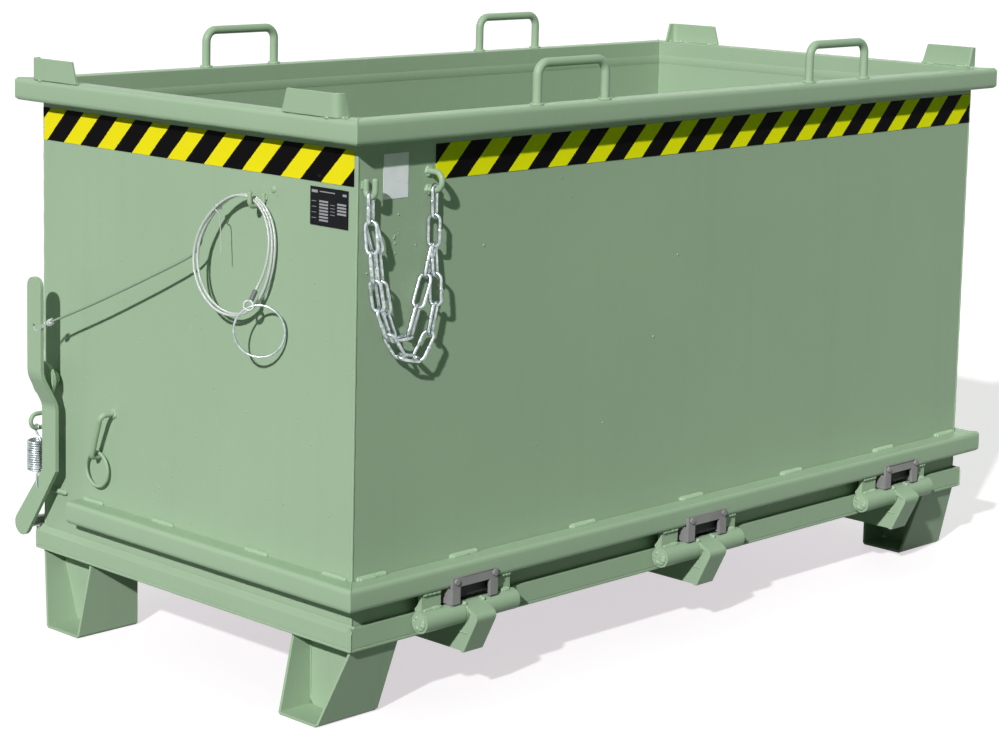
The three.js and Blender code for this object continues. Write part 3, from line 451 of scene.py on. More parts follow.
FINISH_MAKERS = {
    "green_paint": green_paint,
    "grey_paint": grey_paint,
    "black_rubber": black_rubber,
    "bright_zinc": zinc,
    "steel": bare_steel,
    "black_plate": black_plate,
    "plate_field": plate_field,
    "white_label": paper_label,
    "rope": wire_rope,
    "rope_in_shade": rope_with_painted_shade,
    "dark_sleeve": dark_sleeve,
}
finishes = {}


def finish_for(name):
    if name not in finishes:
        finishes[name] = FINISH_MAKERS[name](bpy.context.scene)
    return finishes[name]


# Shapes


def even_steps(points, step):
    """Points an even step apart along a line of points, the two ends kept."""
    lengths = [0.0]
    for before, after in zip(points, points[1:]):
        lengths.append(lengths[-1] + (after - before).length)
    count = max(1, round(lengths[-1] / step))
    result, k = [], 0
    for i in range(count + 1):
        wanted = lengths[-1] * i / count
        while k < len(points) - 2 and lengths[k + 1] < wanted:
            k += 1
        span = lengths[k + 1] - lengths[k]
        result.append(points[k].lerp(points[k + 1], (wanted - lengths[k]) / span if span else 0))
    return result


def bent(points, bend, steps=8):
    """A line whose inner corners are true arcs of a bend radius."""
    result = [points[0]]
    for before, corner, after in zip(points, points[1:], points[2:]):
        a, b = (before - corner), (after - corner)
        half = a.angle(b) / 2
        reach = min(bend / tan(half), a.length / 2, b.length / 2)
        radius = reach * tan(half)
        a.normalize()
        b.normalize()
        centre = corner + (a + b).normalized() * (radius / sin(half))
        start, end = corner + a * reach - centre, corner + b * reach - centre
        turn = start.angle(end)
        for k in range(steps + 1):
            share = k / steps
            arc = start * sin(turn * (1 - share)) + end * sin(turn * share)
            result.append(centre + arc / sin(turn))
    return result + [points[-1]]


def curved(points, per_span=8):
    """A smooth line through points."""
    padded = [points[0] * 2 - points[1], *points, points[-1] * 2 - points[-2]]
    result = []
    for p0, p1, p2, p3 in zip(padded, padded[1:], padded[2:], padded[3:]):
        for k in range(per_span):
            t = k / per_span
            result.append(
                (p1 * 2 + (p2 - p0) * t + (p0 * 2 - p1 * 5 + p2 * 4 - p3) * t ** 2
                 + (p1 * 3 - p0 - p2 * 3 + p3) * t ** 3) / 2
            )
    return result + [points[-1]]


def route_length(route):
    return sum((after - before).length for before, after in zip(route, route[1:]))


def round_about(centre, side, across, count, overlap=0):
    """Points round a circle or an oval, whose two half axes are vectors."""
    turns = (2 * pi * k / count for k in range(count + overlap))
    return [centre + side * cos(turn) + across * sin(turn) for turn in turns]


def rings_joined(rows, sides, closed=False):
    """Faces between rings of points, with a face on either end unless the rings close up."""
    faces = []
    for i in range(rows if closed else rows - 1):
        here, after = i * sides, (i + 1) % rows * sides
        for k in range(sides):
            beside = (k + 1) % sides
            faces.append((here + k, here + beside, after + beside, after + k))
    if closed:
        return faces
    return [*faces, tuple(range(sides))[::-1], tuple((rows - 1) * sides + k for k in range(sides))]


def square_to(way):
    return way.cross(UP if abs(way.z) < 0.9 * way.length else Vector((1, 0, 0))).normalized()


class Shape:
    """Points and faces of a piece, added to bit by bit."""

    def __init__(self):
        self.places, self.faces, self.wraps = [], [], []

    def add(self, places, faces, wraps=None):
        first = len(self.places)
        self.places += places
        self.faces += [tuple(first + i for i in face) for face in faces]
        self.wraps += wraps or [(0.0, 0.0)] * len(places)
        return self

    def tube(self, route, radius, sides, closed=False):
        """A round bar along a route; its radius may follow the distance along it and the whole length."""
        count = len(route)
        ways = []
        for i, here in enumerate(route):
            after = route[(i + 1) % count] if closed or i + 1 < count else here
            before = route[i - 1] if closed or i > 0 else here
            ways.append((after - before).normalized())
        total = route_length(route)
        side = square_to(ways[0])
        places, wraps, run = [], [], 0.0
        for i, here in enumerate(route):
            side = (side - ways[i] * side.dot(ways[i])).normalized()
            if i:
                run += (here - route[i - 1]).length
            size = radius(run, total) if callable(radius) else radius
            places += round_about(here, side * size, ways[i].cross(side) * size, sides)
            wraps += [(k / sides, run) for k in range(sides)]
        return self.add(places, rings_joined(count, sides, closed), wraps)

    def turned(self, profile, start, way, sides):
        """A profile of (radius, distance along), turned about a line, closed at both ends."""
        way = way.normalized()
        side = square_to(way)
        across = way.cross(side)
        places = []
        for radius, reach in profile:
            places += round_about(start + way * reach, side * radius, across * radius, sides)
        return self.add(places, rings_joined(len(profile), sides))

    def dome(self, centre, way, radius, height, sides=10):
        """A low round lump on a surface."""
        rise = [radians(degrees) for degrees in (0, 25, 50, 72, 86)]
        profile = [(radius * cos(turn), height * sin(turn)) for turn in rise]
        return self.turned([(radius, -0.3 * height), *profile], centre, way, sides)

    def bead(self, route, size):
        """A weld bead with overlapping scales and rounded ends along a route."""
        ripple = bpy.context.scene.bin_welds.ripple

        def radius(run, total):
            end = min(run, total - run, size) / size
            scale = 0.5 - 0.5 * cos(2 * pi * run / ripple)
            return max(size * sqrt(max(0.0, end * (2 - end))) * (0.84 + 0.2 * scale), size * 0.08)

        return self.tube(even_steps(route, ripple / 5), radius, 8)

    def seam(self, start, end, size):
        """A straight weld bead between two places, all in millimetres."""
        return self.bead([at(*start), at(*end)], size * MM)

    def piece(self, name, finish, body="tub", replaces=None, slot=None, sharp=40):
        """Makes a piece of the shape in its finish; its slot argument is not used."""
        mesh = bpy.data.meshes.new(name)
        mesh.from_pydata([tuple(p) for p in self.places], [], self.faces)
        layer = mesh.uv_layers.new(name="round_and_along")
        for face in mesh.polygons:
            turns = [self.wraps[mesh.loops[i].vertex_index] for i in face.loop_indices]
            wide = max(t[0] for t in turns) - min(t[0] for t in turns) > 0.5
            for i, (u, w) in zip(face.loop_indices, turns):
                layer.data[i].uv = (u + 1 if wide and u < 0.5 else u, w)
        return dressed(name, mesh, finish, body, replaces, sharp)

    def green(self, name, body="tub", replaces=None, sharp=40):
        """Makes a piece in green paint."""
        return self.piece(name, "green_paint", body, replaces, sharp=sharp)

    def welds(self, name, body="tub"):
        """Makes a piece of welds in green paint, shaded softly over their scales."""
        return self.green(name, body, sharp=60)


def put(name, data):
    """Adds an object of a mesh, lamp or camera to the scene."""
    added = bpy.data.objects.new(name, data)
    bpy.context.scene.collection.objects.link(added)
    return added


def dressed(name, mesh, finish, body, replaces, sharp):
    """Makes a mesh a piece, with outward faces, soft shading, its finish and any body."""
    bm = bmesh.new()
    bm.from_mesh(mesh)
    bmesh.ops.recalc_face_normals(bm, faces=bm.faces)
    bm.to_mesh(mesh)
    bm.free()
    mesh.materials.clear()
    mesh.materials.append(finish_for(finish))
    mesh.shade_smooth()
    mesh.set_sharp_from_angle(angle=radians(sharp))
    piece = put(name, mesh)
    if body:
        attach(piece, body)
    if replaces:
        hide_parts(replaces)
    return piece


def numbered(name, count):
    return [f"{name}_{i}" for i in range(1, count + 1)]


def rounded(nodes, edge, sharp=33, segments=2):
    """CAD solids with their edges over a sharpness in degrees rounded off, in place of the plain ones."""
    for node in nodes:
        mesh = frame["nodes"][node].data.copy()
        bm = bmesh.new()
        bm.from_mesh(mesh)
        bmesh.ops.remove_doubles(bm, verts=bm.verts, dist=1e-6)
        bmesh.ops.dissolve_limit(bm, angle_limit=radians(1), verts=bm.verts, edges=bm.edges)
        edges = [e for e in bm.edges if e.is_manifold and e.calc_face_angle() > radians(sharp)]
        bmesh.ops.bevel(
            bm, geom=edges, offset=edge, offset_type="OFFSET", segments=segments, profile=0.5,
            affect="EDGES", clamp_overlap=True, loop_slide=True,
        )
        bm.to_mesh(mesh)
        bm.free()
        slot = SLOT_OF[node]
        piece = dressed(f"{node}_steel", mesh, slot, BODY_OF[node], node, sharp)
        even = piece.modifiers.new("flat faces stay flat", "WEIGHTED_NORMAL")
        even.keep_sharp = True


def paint_node(node, finish=None):
    """Gives a CAD solid that stays as it is the finish of its slot."""
    mesh = frame["nodes"][node].data
    mesh.materials.clear()
    mesh.materials.append(finish or finish_for(SLOT_OF[node]))


# Rope


ROPE_RADIUS = 2.5
COIL_STEPS, COIL_FIRST, COIL_LAST = 240, 20, 920
COIL_Y, COIL_Z = -145, 739
STRETCH_START = (-906, 308, 579)
STRETCH_SHARES = (
    (0, 0, 0), (0.086, 0.086, 0.073), (0.215, 0.288, 0.243), (0.366, 0.489, 0.422),
    (0.538, 0.691, 0.607), (0.753, 0.864, 0.772), (0.925, 0.95, 0.869),
)
KNOT_STEPS, KNOT_TURNS = 72, 2.5
SLEEVE = (
    (2.9, 0), (3.6, 0.6), (4.4, 1.6), (4.5, 3), (4.2, 6.5), (4.45, 10), (4.2, 13.5), (4.5, 17),
    (4.3, 18.6), (3.4, 19.7), (2.9, 20),
)
EYE_RADIUS, PULL_RING_RADIUS = 8, 43


def coil_route():
    """The rope's route round its coil: from the stretch, twice round and a half, to its ferrule."""
    radius, end_radius, narrow, lean, pitch, off_wall = 85.4, 78.7, 0.84, 0.22, 5.6, 8
    first, last = radians(COIL_FIRST), radians(COIL_LAST)
    off_y, off_z = (-194 - COIL_Y) / narrow, 838 - COIL_Z
    hook_angle = atan2(off_z, off_y)
    hook_radius = (hypot(off_y, off_z) + 5 + ROPE_RADIUS) / cos(pi / 24)
    turns = []
    for k in range(COIL_STEPS + 1):
        angle = first + (last - first) * k / COIL_STEPS
        away = remainder(angle - hook_angle, 2 * pi) / 0.8
        left = min((last - angle) / radians(70), 1)
        free = radius - (1 - left) ** 2 * (radius - end_radius) + 2 * sin(angle * 0.7)
        size = free + (hook_radius - free) * exp(-away * away)
        aside = narrow * size * cos(angle)
        out = off_wall + pitch * (angle - first) / (2 * pi) + lean * (aside + narrow * radius)
        turns.append(at(-WALL_X - out, COIL_Y + aside, COIL_Z + size * sin(angle)))
    drop = radians(58)
    pull = Vector((-cos(drop), 0, -sin(drop)))
    aside = Vector((0, 1, -1))
    for sideways, down in ((0.4, 1), (0.8, 2.5), (0.8, 4)):
        turns.append(turns[COIL_STEPS] + (aside * sideways + pull * down) * (ROPE_RADIUS * MM))
    return turns, pull


class BIN_OT_rope(bpy.types.Operator):
    """Makes the release rope: its stretch to the lever, its coil, knot, ferrule, tie and ring"""

    bl_idname = "bin.rope"
    bl_label = "Rope"

    def execute(self, context):
        diameter = context.scene.bin_rope.diameter
        coil, pull = coil_route()
        coil_line = even_steps(coil, 0.004)
        ring = self.end_fitting(coil[-1], pull, diameter)
        rope_coil = Shape().tube(coil_line, diameter / 2, 14)
        rope_coil = rope_coil.piece("rope_in_coil", "rope", replaces="rope_coil")
        route_length(coil_line)
        self.tie(coil)
        arrival = (coil[1] - coil[0]).normalized()
        start = at(*STRETCH_START)
        gap = coil[0] - start
        points = [
            start + Vector((gap.x * out, gap.y * along, gap.z * up)) for out, along, up in STRETCH_SHARES
        ]
        line = even_steps(curved([*points, coil[0] - arrival * (5.3 * MM), coil[0]], 16), 0.006)
        stretch = Shape().tube(line, diameter / 2, 14)
        # The free stretch takes the copy of the rope finish with painted shade.
        stretch = stretch.piece("rope_to_lever", "rope_in_shade", None, "rope_stretch", "rope")
        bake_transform(stretch)
        knot = self.knot(line[0], (line[0] - line[1]).normalized(), diameter)
        route_length(line)
        return {"FINISHED"}

    def knot(self, start, way, diameter):
        """Crossed turns of the rope drawn tight, and its end, looped through the lever's hole."""
        shape = Shape()
        side = square_to(way)
        across = way.cross(side)
        wire = diameter * 0.42
        turns = []
        for k in range(KNOT_STEPS + 1):
            share = k / KNOT_STEPS
            angle = 2 * pi * KNOT_TURNS * share
            swell = 0.0042 - 0.0009 * cos(2 * pi * share)
            middle = start + way * (0.0015 + 0.0105 * share)
            turns.append(middle + side * (swell * cos(angle)) + across * (swell * sin(angle)))
        shape.tube(turns, wire, 10)
        shape.tube([start + way * (0.001 * k) for k in range(12)], diameter * 0.48, 12)
        over = round_about(start + way * 0.0065, way * 0.0062 + across * 0.0044, side * 0.005, 32)
        shape.tube(over, wire, 10, closed=True)
        for lift in (0, 3.5):
            end = [(-906, 322, 577 - lift), (-910.6, 332, 569 - lift), (-911.7, 339, 563.5 - lift),
                   (-911.7, 348, 557.5), (-911.7, 354, 559.5), (-910, 356, 564), (-903, 356, 565)]
            shape.tube(even_steps(curved([at(*place) for place in end]), 0.002), 1.1 * MM, 8)
        return shape.piece("knot_at_lever", "rope", "latch", "rope_knot")

    def tie(self, coil):
        """A thin strap pulled tight round the three turns, its tail hanging down."""
        shape = Shape()
        near = min(range(len(coil) // 3), key=lambda i: (coil[i] - at(-884, -112, 834)).length)
        way = (coil[near + 1] - coil[near - 1]).normalized()
        turns = COIL_STEPS * 360 // (COIL_LAST - COIL_FIRST)
        middle = (coil[near] + coil[near + turns] + coil[near + 2 * turns]) / 3
        side = LEFT.cross(way).normalized()
        shape.tube(round_about(middle, LEFT * -0.0092, side * 0.0048, 28), 0.0009, 8, closed=True)
        shape.dome(middle + side * 0.005, side, 0.0022, 0.0022)
        start = middle + LEFT * 0.0085
        offs = ((0, 0, 0), (0, -7, -4), (2, -13, -11), (3, -15, -42), (3, -17, -74))
        tail = curved([start + Vector(off) * MM for off in offs])
        shape.tube(even_steps(tail, 0.003), 0.0009, 8)
        return shape.piece("coil_tie", "rope")

    def end_fitting(self, start, pull, diameter):
        """The dark sleeve and rope eye at the coil's end, and the pull ring that hangs in it."""
        turn = radians(36)
        side = Vector((-sin(turn), cos(turn), 0))
        start = start + pull * (0.3 * MM)
        sleeve = Shape().turned(in_metres(*SLEEVE), start, pull, 20)
        sleeve = sleeve.piece("rope_sleeve", "dark_sleeve", replaces="rope_ferrule", slot="rope")
        centre = start + pull * (28 * MM)
        eye = round_about(centre, UP * (EYE_RADIUS * MM), side * (EYE_RADIUS * MM), 32)
        eye = Shape().tube(eye, diameter / 2, 12, closed=True).piece("rope_end_eye", "rope")
        tilt = radians(25)
        hang = side * -sin(tilt) - UP * cos(tilt)
        size = PULL_RING_RADIUS * MM
        middle = centre - UP * ((EYE_RADIUS - ROPE_RADIUS - 2.9) * MM) + hang * size
        ring = Shape().tube(round_about(middle, side * size, UP * size, 96), 2 * MM, 12, closed=True)
        ring = ring.piece("pull_ring_wire", "bright_zinc", replaces="pull_ring")
        return [sleeve, eye, ring]


# Chain


def chain_joints():
    """Where each link of the doubled chain starts and ends, and which way it lies across."""
    right_top, left_top = at(-690, -427.3, 881.5), at(-833, -428.8, 881.5)
    fork = right_top - UP * (96 * MM)
    low = 596 * MM

    def spot(along, down, out):
        place = at(-690 - 143 * along, -413.3 - out, 0)
        place.z = fork.z + (low - fork.z) * down
        return place

    left_fork = spot(0.985, -0.26, 14)
    inner = [(0.222, 0.49), (0.471, 0.86), (0.748, 0.5), (0.877, -0.02)]
    outer = [(0, 0.5), (0.102, 0.77), (0.351, 1), (0.591, 0.87), (0.877, 0.51), (0.997, 0)]
    runs = (
        ([right_top, fork], 2),
        ([fork, *(spot(along, down, 14) for along, down in inner), left_fork], 8),
        ([fork, *(spot(along, down, 21) for along, down in outer), left_fork], 10),
        ([left_fork, left_top], 1),
    )
    links = []
    for points, count in runs:
        line = curved(points, 24)
        joints = even_steps(line, route_length(line) / count)
        links += [(a, b, i % 2) for i, (a, b) in enumerate(zip(joints, joints[1:]))]
    return links


class BIN_OT_chain(bpy.types.Operator):
    """Makes the doubled chain of bent and welded links"""

    bl_idname = "bin.chain"
    bl_label = "Chain"

    def execute(self, context):
        settings = context.scene.bin_chain
        wire, half_width = settings.wire / 2, settings.width / 2
        turn = radians(25)
        ways = (Vector((cos(turn), sin(turn), 0)), Vector((-sin(turn), cos(turn), 0)))
        shape = Shape()
        for start, end, way in chain_joints():
            self.link(shape, start, end, ways[way], wire, half_width)
        shape.piece("chain_links", "bright_zinc", replaces="chain")
        return {"FINISHED"}

    def link(self, shape, start, end, across, wire, half_width):
        along = end - start
        half = along.length / 2 + wire - 0.5 * MM - half_width
        middle = (start + end) / 2
        along.normalize()
        side = (across - along * across.dot(along)).normalized()
        line, steps = [], 10
        for sign in (-1, 1):
            for k in range(steps + 1):
                angle = pi * k / steps
                reach, aside = half + half_width * sin(angle), half_width * cos(angle)
                line.append(middle + along * (sign * reach) + side * (sign * aside))
        seam = line[0].lerp(line[-1], 0.5)
        shape.tube(line, wire, 12, closed=True)
        swell = [(0.9, -3), (1.13, -1.8), (1.17, 0), (1.13, 1.8), (0.9, 3)]
        swell = [(wire * size, reach * MM) for size, reach in swell]
        shape.turned(swell, seam, along, 12)


# Tub


class BIN_OT_tub(bpy.types.Operator):
    """Paints the tub's sheets and adds the welded upright corners"""

    bl_idname = "bin.tub"
    bl_label = "Tub"

    def execute(self, context):
        rounded([f"wall_{side}" for side in ("front", "back", "left", "right")], 0.0006, segments=1)
        shape = Shape()
        rng = random.Random(4)

        def size(run, total):
            return (2.6 + 0.25 * sin(run * 410)) * MM

        for sx, sy in CORNERS:
            line = []
            for z in range(152, 959, 12):
                x = WALL_X - 1.6 + 0.25 * rng.random()
                line.append(at(sx * x, sy * (WALL_Y - 1.6 + 0.25 * rng.random()), z))
            shape.tube(line, size, 10)
        shape.welds("tub_corner_welds")
        return {"FINISHED"}


class BIN_OT_rim(bpy.types.Operator):
    """Makes the rim and the flange with their mitred corners, and the stitch welds on the flange"""

    bl_idname = "bin.rim"
    bl_label = "Rim and flange"

    def execute(self, context):
        rounded(["rim", "flange"], 0.0016, 50)
        mitres = Shape()
        low = ((34, FLANGE_TOP + 0.1), (5, FLANGE_TOP + 0.1), (1.4, 246), (1.4, 214))
        high = ((39, RIM_TOP + 0.1), (5, RIM_TOP + 0.1), (1.4, 996), (1.4, 990), (1.4, 970), (1.4, 964))
        for sx, sy in CORNERS:
            for route in (high,) if (sx, sy) == (-1, 1) else (high, low):
                line = [at(sx * (RIM_X - inset), sy * (RIM_Y - inset), z) for inset, z in route]
                mitres.bead(line, 0.0014)
        x, y, z = WALL_X - 3.3, WALL_Y - 3.3, RIM_TOP - RIM_TUBE + 0.2
        for side in (-1, 1):
            self.strip(mitres, at(4 - WALL_X, side * y, z), at(WALL_X - 4, side * y, z), FRONT * -0.0008)
            self.strip(mitres, at(side * x, 4 - WALL_Y, z), at(side * x, WALL_Y - 4, z), LEFT * -0.0008)
        mitres.welds("mitre_welds")
        stitches = Shape()
        z = FLANGE_TOP + 1
        for start in (-838, -626, -329, -32, 265, 562, 772):
            for side in (-1, 1):
                y = side * (WALL_Y + 2)
                stitches.seam((start, y, z), (start + 66, y, z), 5.6)
                stitches.seam((start + 4, y + side * 3, z), (start + 40, y + side * 4, z), 4.2)
        for start in (400, 293, 96, -152, -345):
            for x in (-WALL_X - 2, WALL_X + 2):
                stitches.seam((x, start, z), (x, start - 58, z), 5.4)
        z = RIM_TOP - RIM_TUBE - 1.4
        for start in (-770, -450, -130, 190, 510, 780):
            for y in (-WALL_Y - 1.5, WALL_Y + 1.5):
                stitches.seam((start, y, z), (start + 60, y, z), 3.4)
        stitches.welds("stitch_welds")
        return {"FINISHED"}

    def strip(self, shape, start, end, thick):
        """A weld ground nearly flush along the joint between the rim and a wall's inner face."""
        rows = ((0, -9), (0.8, -6), (1, 0), (0.8, 6), (0, 9), (-0.6, 0))
        sign = 1 if thick.x * start.x + thick.y * start.y < 0 else -1
        ring = [thick * (off * sign) + UP * (z * MM) for off, z in rows]
        shape.add([place + off for place in (start, end) for off in ring], rings_joined(2, len(ring)))


class BIN_OT_stacking_corners(bpy.types.Operator):
    """Makes the four bent plates on the rim that hold a second bin in place"""

    bl_idname = "bin.stacking_corners"
    bl_label = "Stacking corners"

    def execute(self, context):
        rounded(numbered("stacking_corner", 4), 0.0009, 25)
        welds = Shape()
        for sx, sy in CORNERS:
            welds.seam((sx * 877, sy * 270.5, 1001), (sx * 877, sy * 284, 1001.5), 2.6)
            welds.seam((sx * 876.5, sy * 300, 1001.2), (sx * 876.5, sy * 356, 1001.2), 2.2)
            for x, y, size in ((879, 377, 5.5), (867, 399, 5.5), (861, 401, 4)):
                welds.dome(at(sx * x, sy * y, RIM_TOP - 0.5), UP, size * MM, size * 0.8 * MM, 14)
        welds.welds("stacking_corner_welds")
        return {"FINISHED"}


class BIN_OT_lifting_loops(bpy.types.Operator):
    """Makes the four loops of round bar, welded to the rim"""

    bl_idname = "bin.lifting_loops"
    bl_label = "Lifting loops"

    def execute(self, context):
        welds = Shape()
        foot, side, across = RIM_TOP + 0.3, LEFT * (-9.2 * MM), FRONT * (-9.2 * MM)
        for i, (sx, sy) in enumerate(CORNERS, 1):
            x, y = sx * LOOP_X, sy * (RIM_Y - RIM_TUBE / 2)
            low, high = x - LOOP_HALF, x + LOOP_HALF
            line = [at(low, y, foot), at(low, y, LOOP_TOP), at(high, y, LOOP_TOP), at(high, y, foot)]
            bar = Shape().tube(bent(line, LOOP_BEND * MM, 12), BAR_RADIUS * MM, 24)
            bar.green(f"loop_bar_{i}", replaces=f"lifting_loop_{i}")
            for leg in (low, high):
                welds.bead(round_about(at(leg, y, RIM_TOP + 1.2), side, across, 40, 1), 0.0028)
        welds.welds("loop_welds")
        return {"FINISHED"}


# Where a yellow stripe starts along its slanting way on the ends and on the long sides, in metres

END_STRIPES, LONG_STRIPES = -0.5612, -1.5892


class BIN_OT_tapes_and_plates(bpy.types.Operator):
    """Puts on the warning tape, the blank data plate and the blank label"""

    bl_idname = "bin.tapes_and_plates"
    bl_label = "Tapes and plates"

    def execute(self, context):
        scene = context.scene
        x0, y0 = RIM_MIDDLE.x, RIM_MIDDLE.y
        tapes = {
            "stripes_left": ((0, -1, -1), END_STRIPES - y0),
            "stripes_right": ((0, 1, -1), END_STRIPES + y0),
            "stripes_front": ((1, 0, -1), LONG_STRIPES + x0),
            "stripes_back": ((-1, 0, -1), LONG_STRIPES - x0),
        }
        for node, (way, start) in tapes.items():
            # The tapes on the long sides get the brighter yellow, which is painted light.
            bright = node in ("stripes_front", "stripes_back")
            paint_node(node, warning_tape(scene, node.replace("_", " "), way, start, bright))
        rounded(["data_plate"], 0.0006)
        paint_node("blank_label")
        pads = [(-327, 21, 861 - row * 5.1, 3) for row in range(7)]
        pads += [(-369.5, 21, 860 - row * 5.1, 3) for row in range(4)]
        pads += [(-309, 14, 877, 4.5), (-328, 36, 876, 1.6), (-382, 9, 876, 4)]
        for row in range(4):
            pads += [(-309, 11, 859 - row * 9, 0.8), (-353, 11, 856 - row * 5.3, 0.8)]
        fields = Shape()
        for y, width, top, height in pads:
            self.field(fields, at(-WALL_X - 2.2, y, top), at(-WALL_X - 2.42, y - width, top - height))
        fields.piece("plate_fields", "plate_field", slot="black_plate", sharp=20)
        return {"FINISHED"}

    def field(self, shape, a, b):
        """A blank pad printed on the plate, between two of its corners."""
        shape.add(
            [Vector((x, y, z)) for x in (a.x, b.x) for y in (a.y, b.y) for z in (a.z, b.z)],
            [(0, 1, 3, 2), (4, 6, 7, 5), (0, 4, 5, 1), (2, 3, 7, 6), (0, 2, 6, 4), (1, 5, 7, 3)],
        )


# Flap


class BIN_OT_flap(bpy.types.Operator):
    """Makes the floor flap with its folded frame, feet and strikers"""

    bl_idname = "bin.flap"
    bl_label = "Flap"

    def execute(self, context):
        rounded(["floor_plate"], 0.0016)
        rounded(["flap_frame"], 0.0006)
        rounded(numbered("foot", 4), 0.0012, 20)
        rounded(numbered("striker", 3), 0.0009, 30)
        welds = Shape()
        top = 134.6
        for sx, sy in CORNERS:
            corner = ((857.4, 423.4, 136), (857.4, 423.4, 167), (853, 423, 172))
            welds.bead([at(sx * x, sy * y, z) for x, y, z in corner], 0.002)
            welds.seam((sx * 744, sy * 413, top), (sx * 842, sy * 413, top), 3)
            welds.seam((sx * 811, sy * 278, 126), (sx * 811, sy * 278, 26), 1.3)
            welds.seam((sx * 750, sy * 273, top), (sx * 840, sy * 273, top), 3)
        for middle in HINGE_X:
            for side in (-1, 1):
                for dy, dz, size in ((-9, 17, 4.6), (-4, 18.4, 3.6), (-15, 11, 3)):
                    place = at(middle + side * 22, HINGE_Y + dy, HINGE_Z + dz)
                    welds.dome(place, Vector((0, dy, dz)).normalized(), size * MM, size * 0.8 * MM, 14)
                x = middle + side * 18.2
                welds.seam((x, -456, 129), (x, -432, 129), 1.6)
                welds.seam((x, -430, 137.5), (x, -425.5, 168), 2.2)
        welds.welds("flap_welds", "flap")
        return {"FINISHED"}


class BIN_OT_hinges(bpy.types.Operator):
    """Makes the hinge brackets with their pins, tack welds and the grey rubber buffers"""

    bl_idname = "bin.hinges"
    bl_label = "Hinges and buffers"

    def execute(self, context):
        welds = Shape()
        for i, x in enumerate(HINGE_X, 1):
            rounded([f"hinge_bracket_{i}"], 0.0008, 30)
            rounded([f"buffer_housing_{i}"], 0.0009, 30)
            rounded([f"buffer_rubber_{i}"], 0.002, segments=3)
            self.pin(i, x)
            y, z = HINGE_Y - 1.5, HINGE_Z + 18.6
            for start, end, size in ((-111, -68, 3.4), (-92, -72, 4.6), (69, 92, 5), (74, 88, 5.6)):
                welds.seam((x + start, y, z), (x + end, y, z), size)
            for start, end in ((-111, -69), (69, 96)):
                step = (end - start) / 8
                wave = [at(x + start + step * k, -443.2 - 1.2 * (k % 2), 208.6) for k in range(9)]
                welds.bead(wave, 0.003)
            self.bolts(i, x)
        welds.welds("bracket_welds")
        return {"FINISHED"}

    def bolts(self, i, x):
        """The socket-head screws that close the housing's two upper corners."""
        head = in_metres((5.3, -0.6), (5.3, 2.9), (4.9, 3.5), (3.4, 3.7), (3, 2.4))
        socket = in_metres((2.9, 2.1), (2.9, 2.7), (2.4, 2.8))
        heads, sockets = Shape(), Shape()
        for side in (-1, 1):
            face = at(x + side * 45, -456.4, 222.2)
            heads.turned(head, face, FRONT, 20)
            sockets.turned(socket, face, FRONT, 6)
        heads.piece(f"housing_screws_{i}", "bright_zinc", slot="grey_paint")
        # The sockets are dark discs set in the screw heads: painted shade for the shaded hollow of a hex
        # socket.
        sockets.piece(f"housing_screw_socket_shades_{i}", "dark_sleeve", slot="grey_paint")

    def pin(self, i, x):
        """A pin whose two ends are closed by a disc held with uneven tacks of weld."""
        shape = Shape()
        disc = in_metres(
            (9.4, -20), (9.4, 0), (13.6, 0), (14.4, 0.7), (14.4, 1.8), (13.8, 2.5), (9.5, 2.6), (8, 2.9),
            (3, 2.9),
        )
        tacks = (
            (200, 9.6, 5.6), (168, 10.4, 4.4), (52, 10.6, 4.6), (8, 10.8, 4), (292, 10.4, 5),
            (246, 10.6, 4.2),
        )
        for way, reach, turned in ((LEFT, -117.8, 0), (-LEFT, 103.3, 130)):
            start = at(x + reach, HINGE_Y, HINGE_Z)
            shape.turned(disc, start, way, 28)
            for angle, off, size in tacks:
                turn = radians(angle + turned)
                aside = Vector((0, cos(turn), sin(turn)))
                place = start + (way * 1.6 + aside * off) * MM
                shape.dome(place, way + aside * 0.35, size * MM, size * 0.62 * MM, 14)
        shape.turned(in_metres((9.4, 0), (9.4, 220.5)), at(x - 117.5, HINGE_Y, HINGE_Z), -LEFT, 28)
        shape.green(f"pin_with_tacks_{i}", replaces=f"hinge_pin_{i}")


# Lever


class BIN_OT_lever(bpy.types.Operator):
    """Makes the release lever, its hub, latch shaft and bearings"""

    bl_idname = "bin.lever"
    bl_label = "Lever and shaft"

    def execute(self, context):
        rounded(["release_lever"], 0.0011, 24)
        rounded(["lever_hub"], 0.0014, 28)
        rounded(["latch_shaft", *numbered("shaft_bearing", 3)], 0.0008, 30)
        ring = round_about(at(-874.4, 439, 181), FRONT * (-11.5 * MM), UP * (11.5 * MM), 40, 1)
        Shape().bead(ring, 0.0024).welds("lever_welds", "latch")
        return {"FINISHED"}


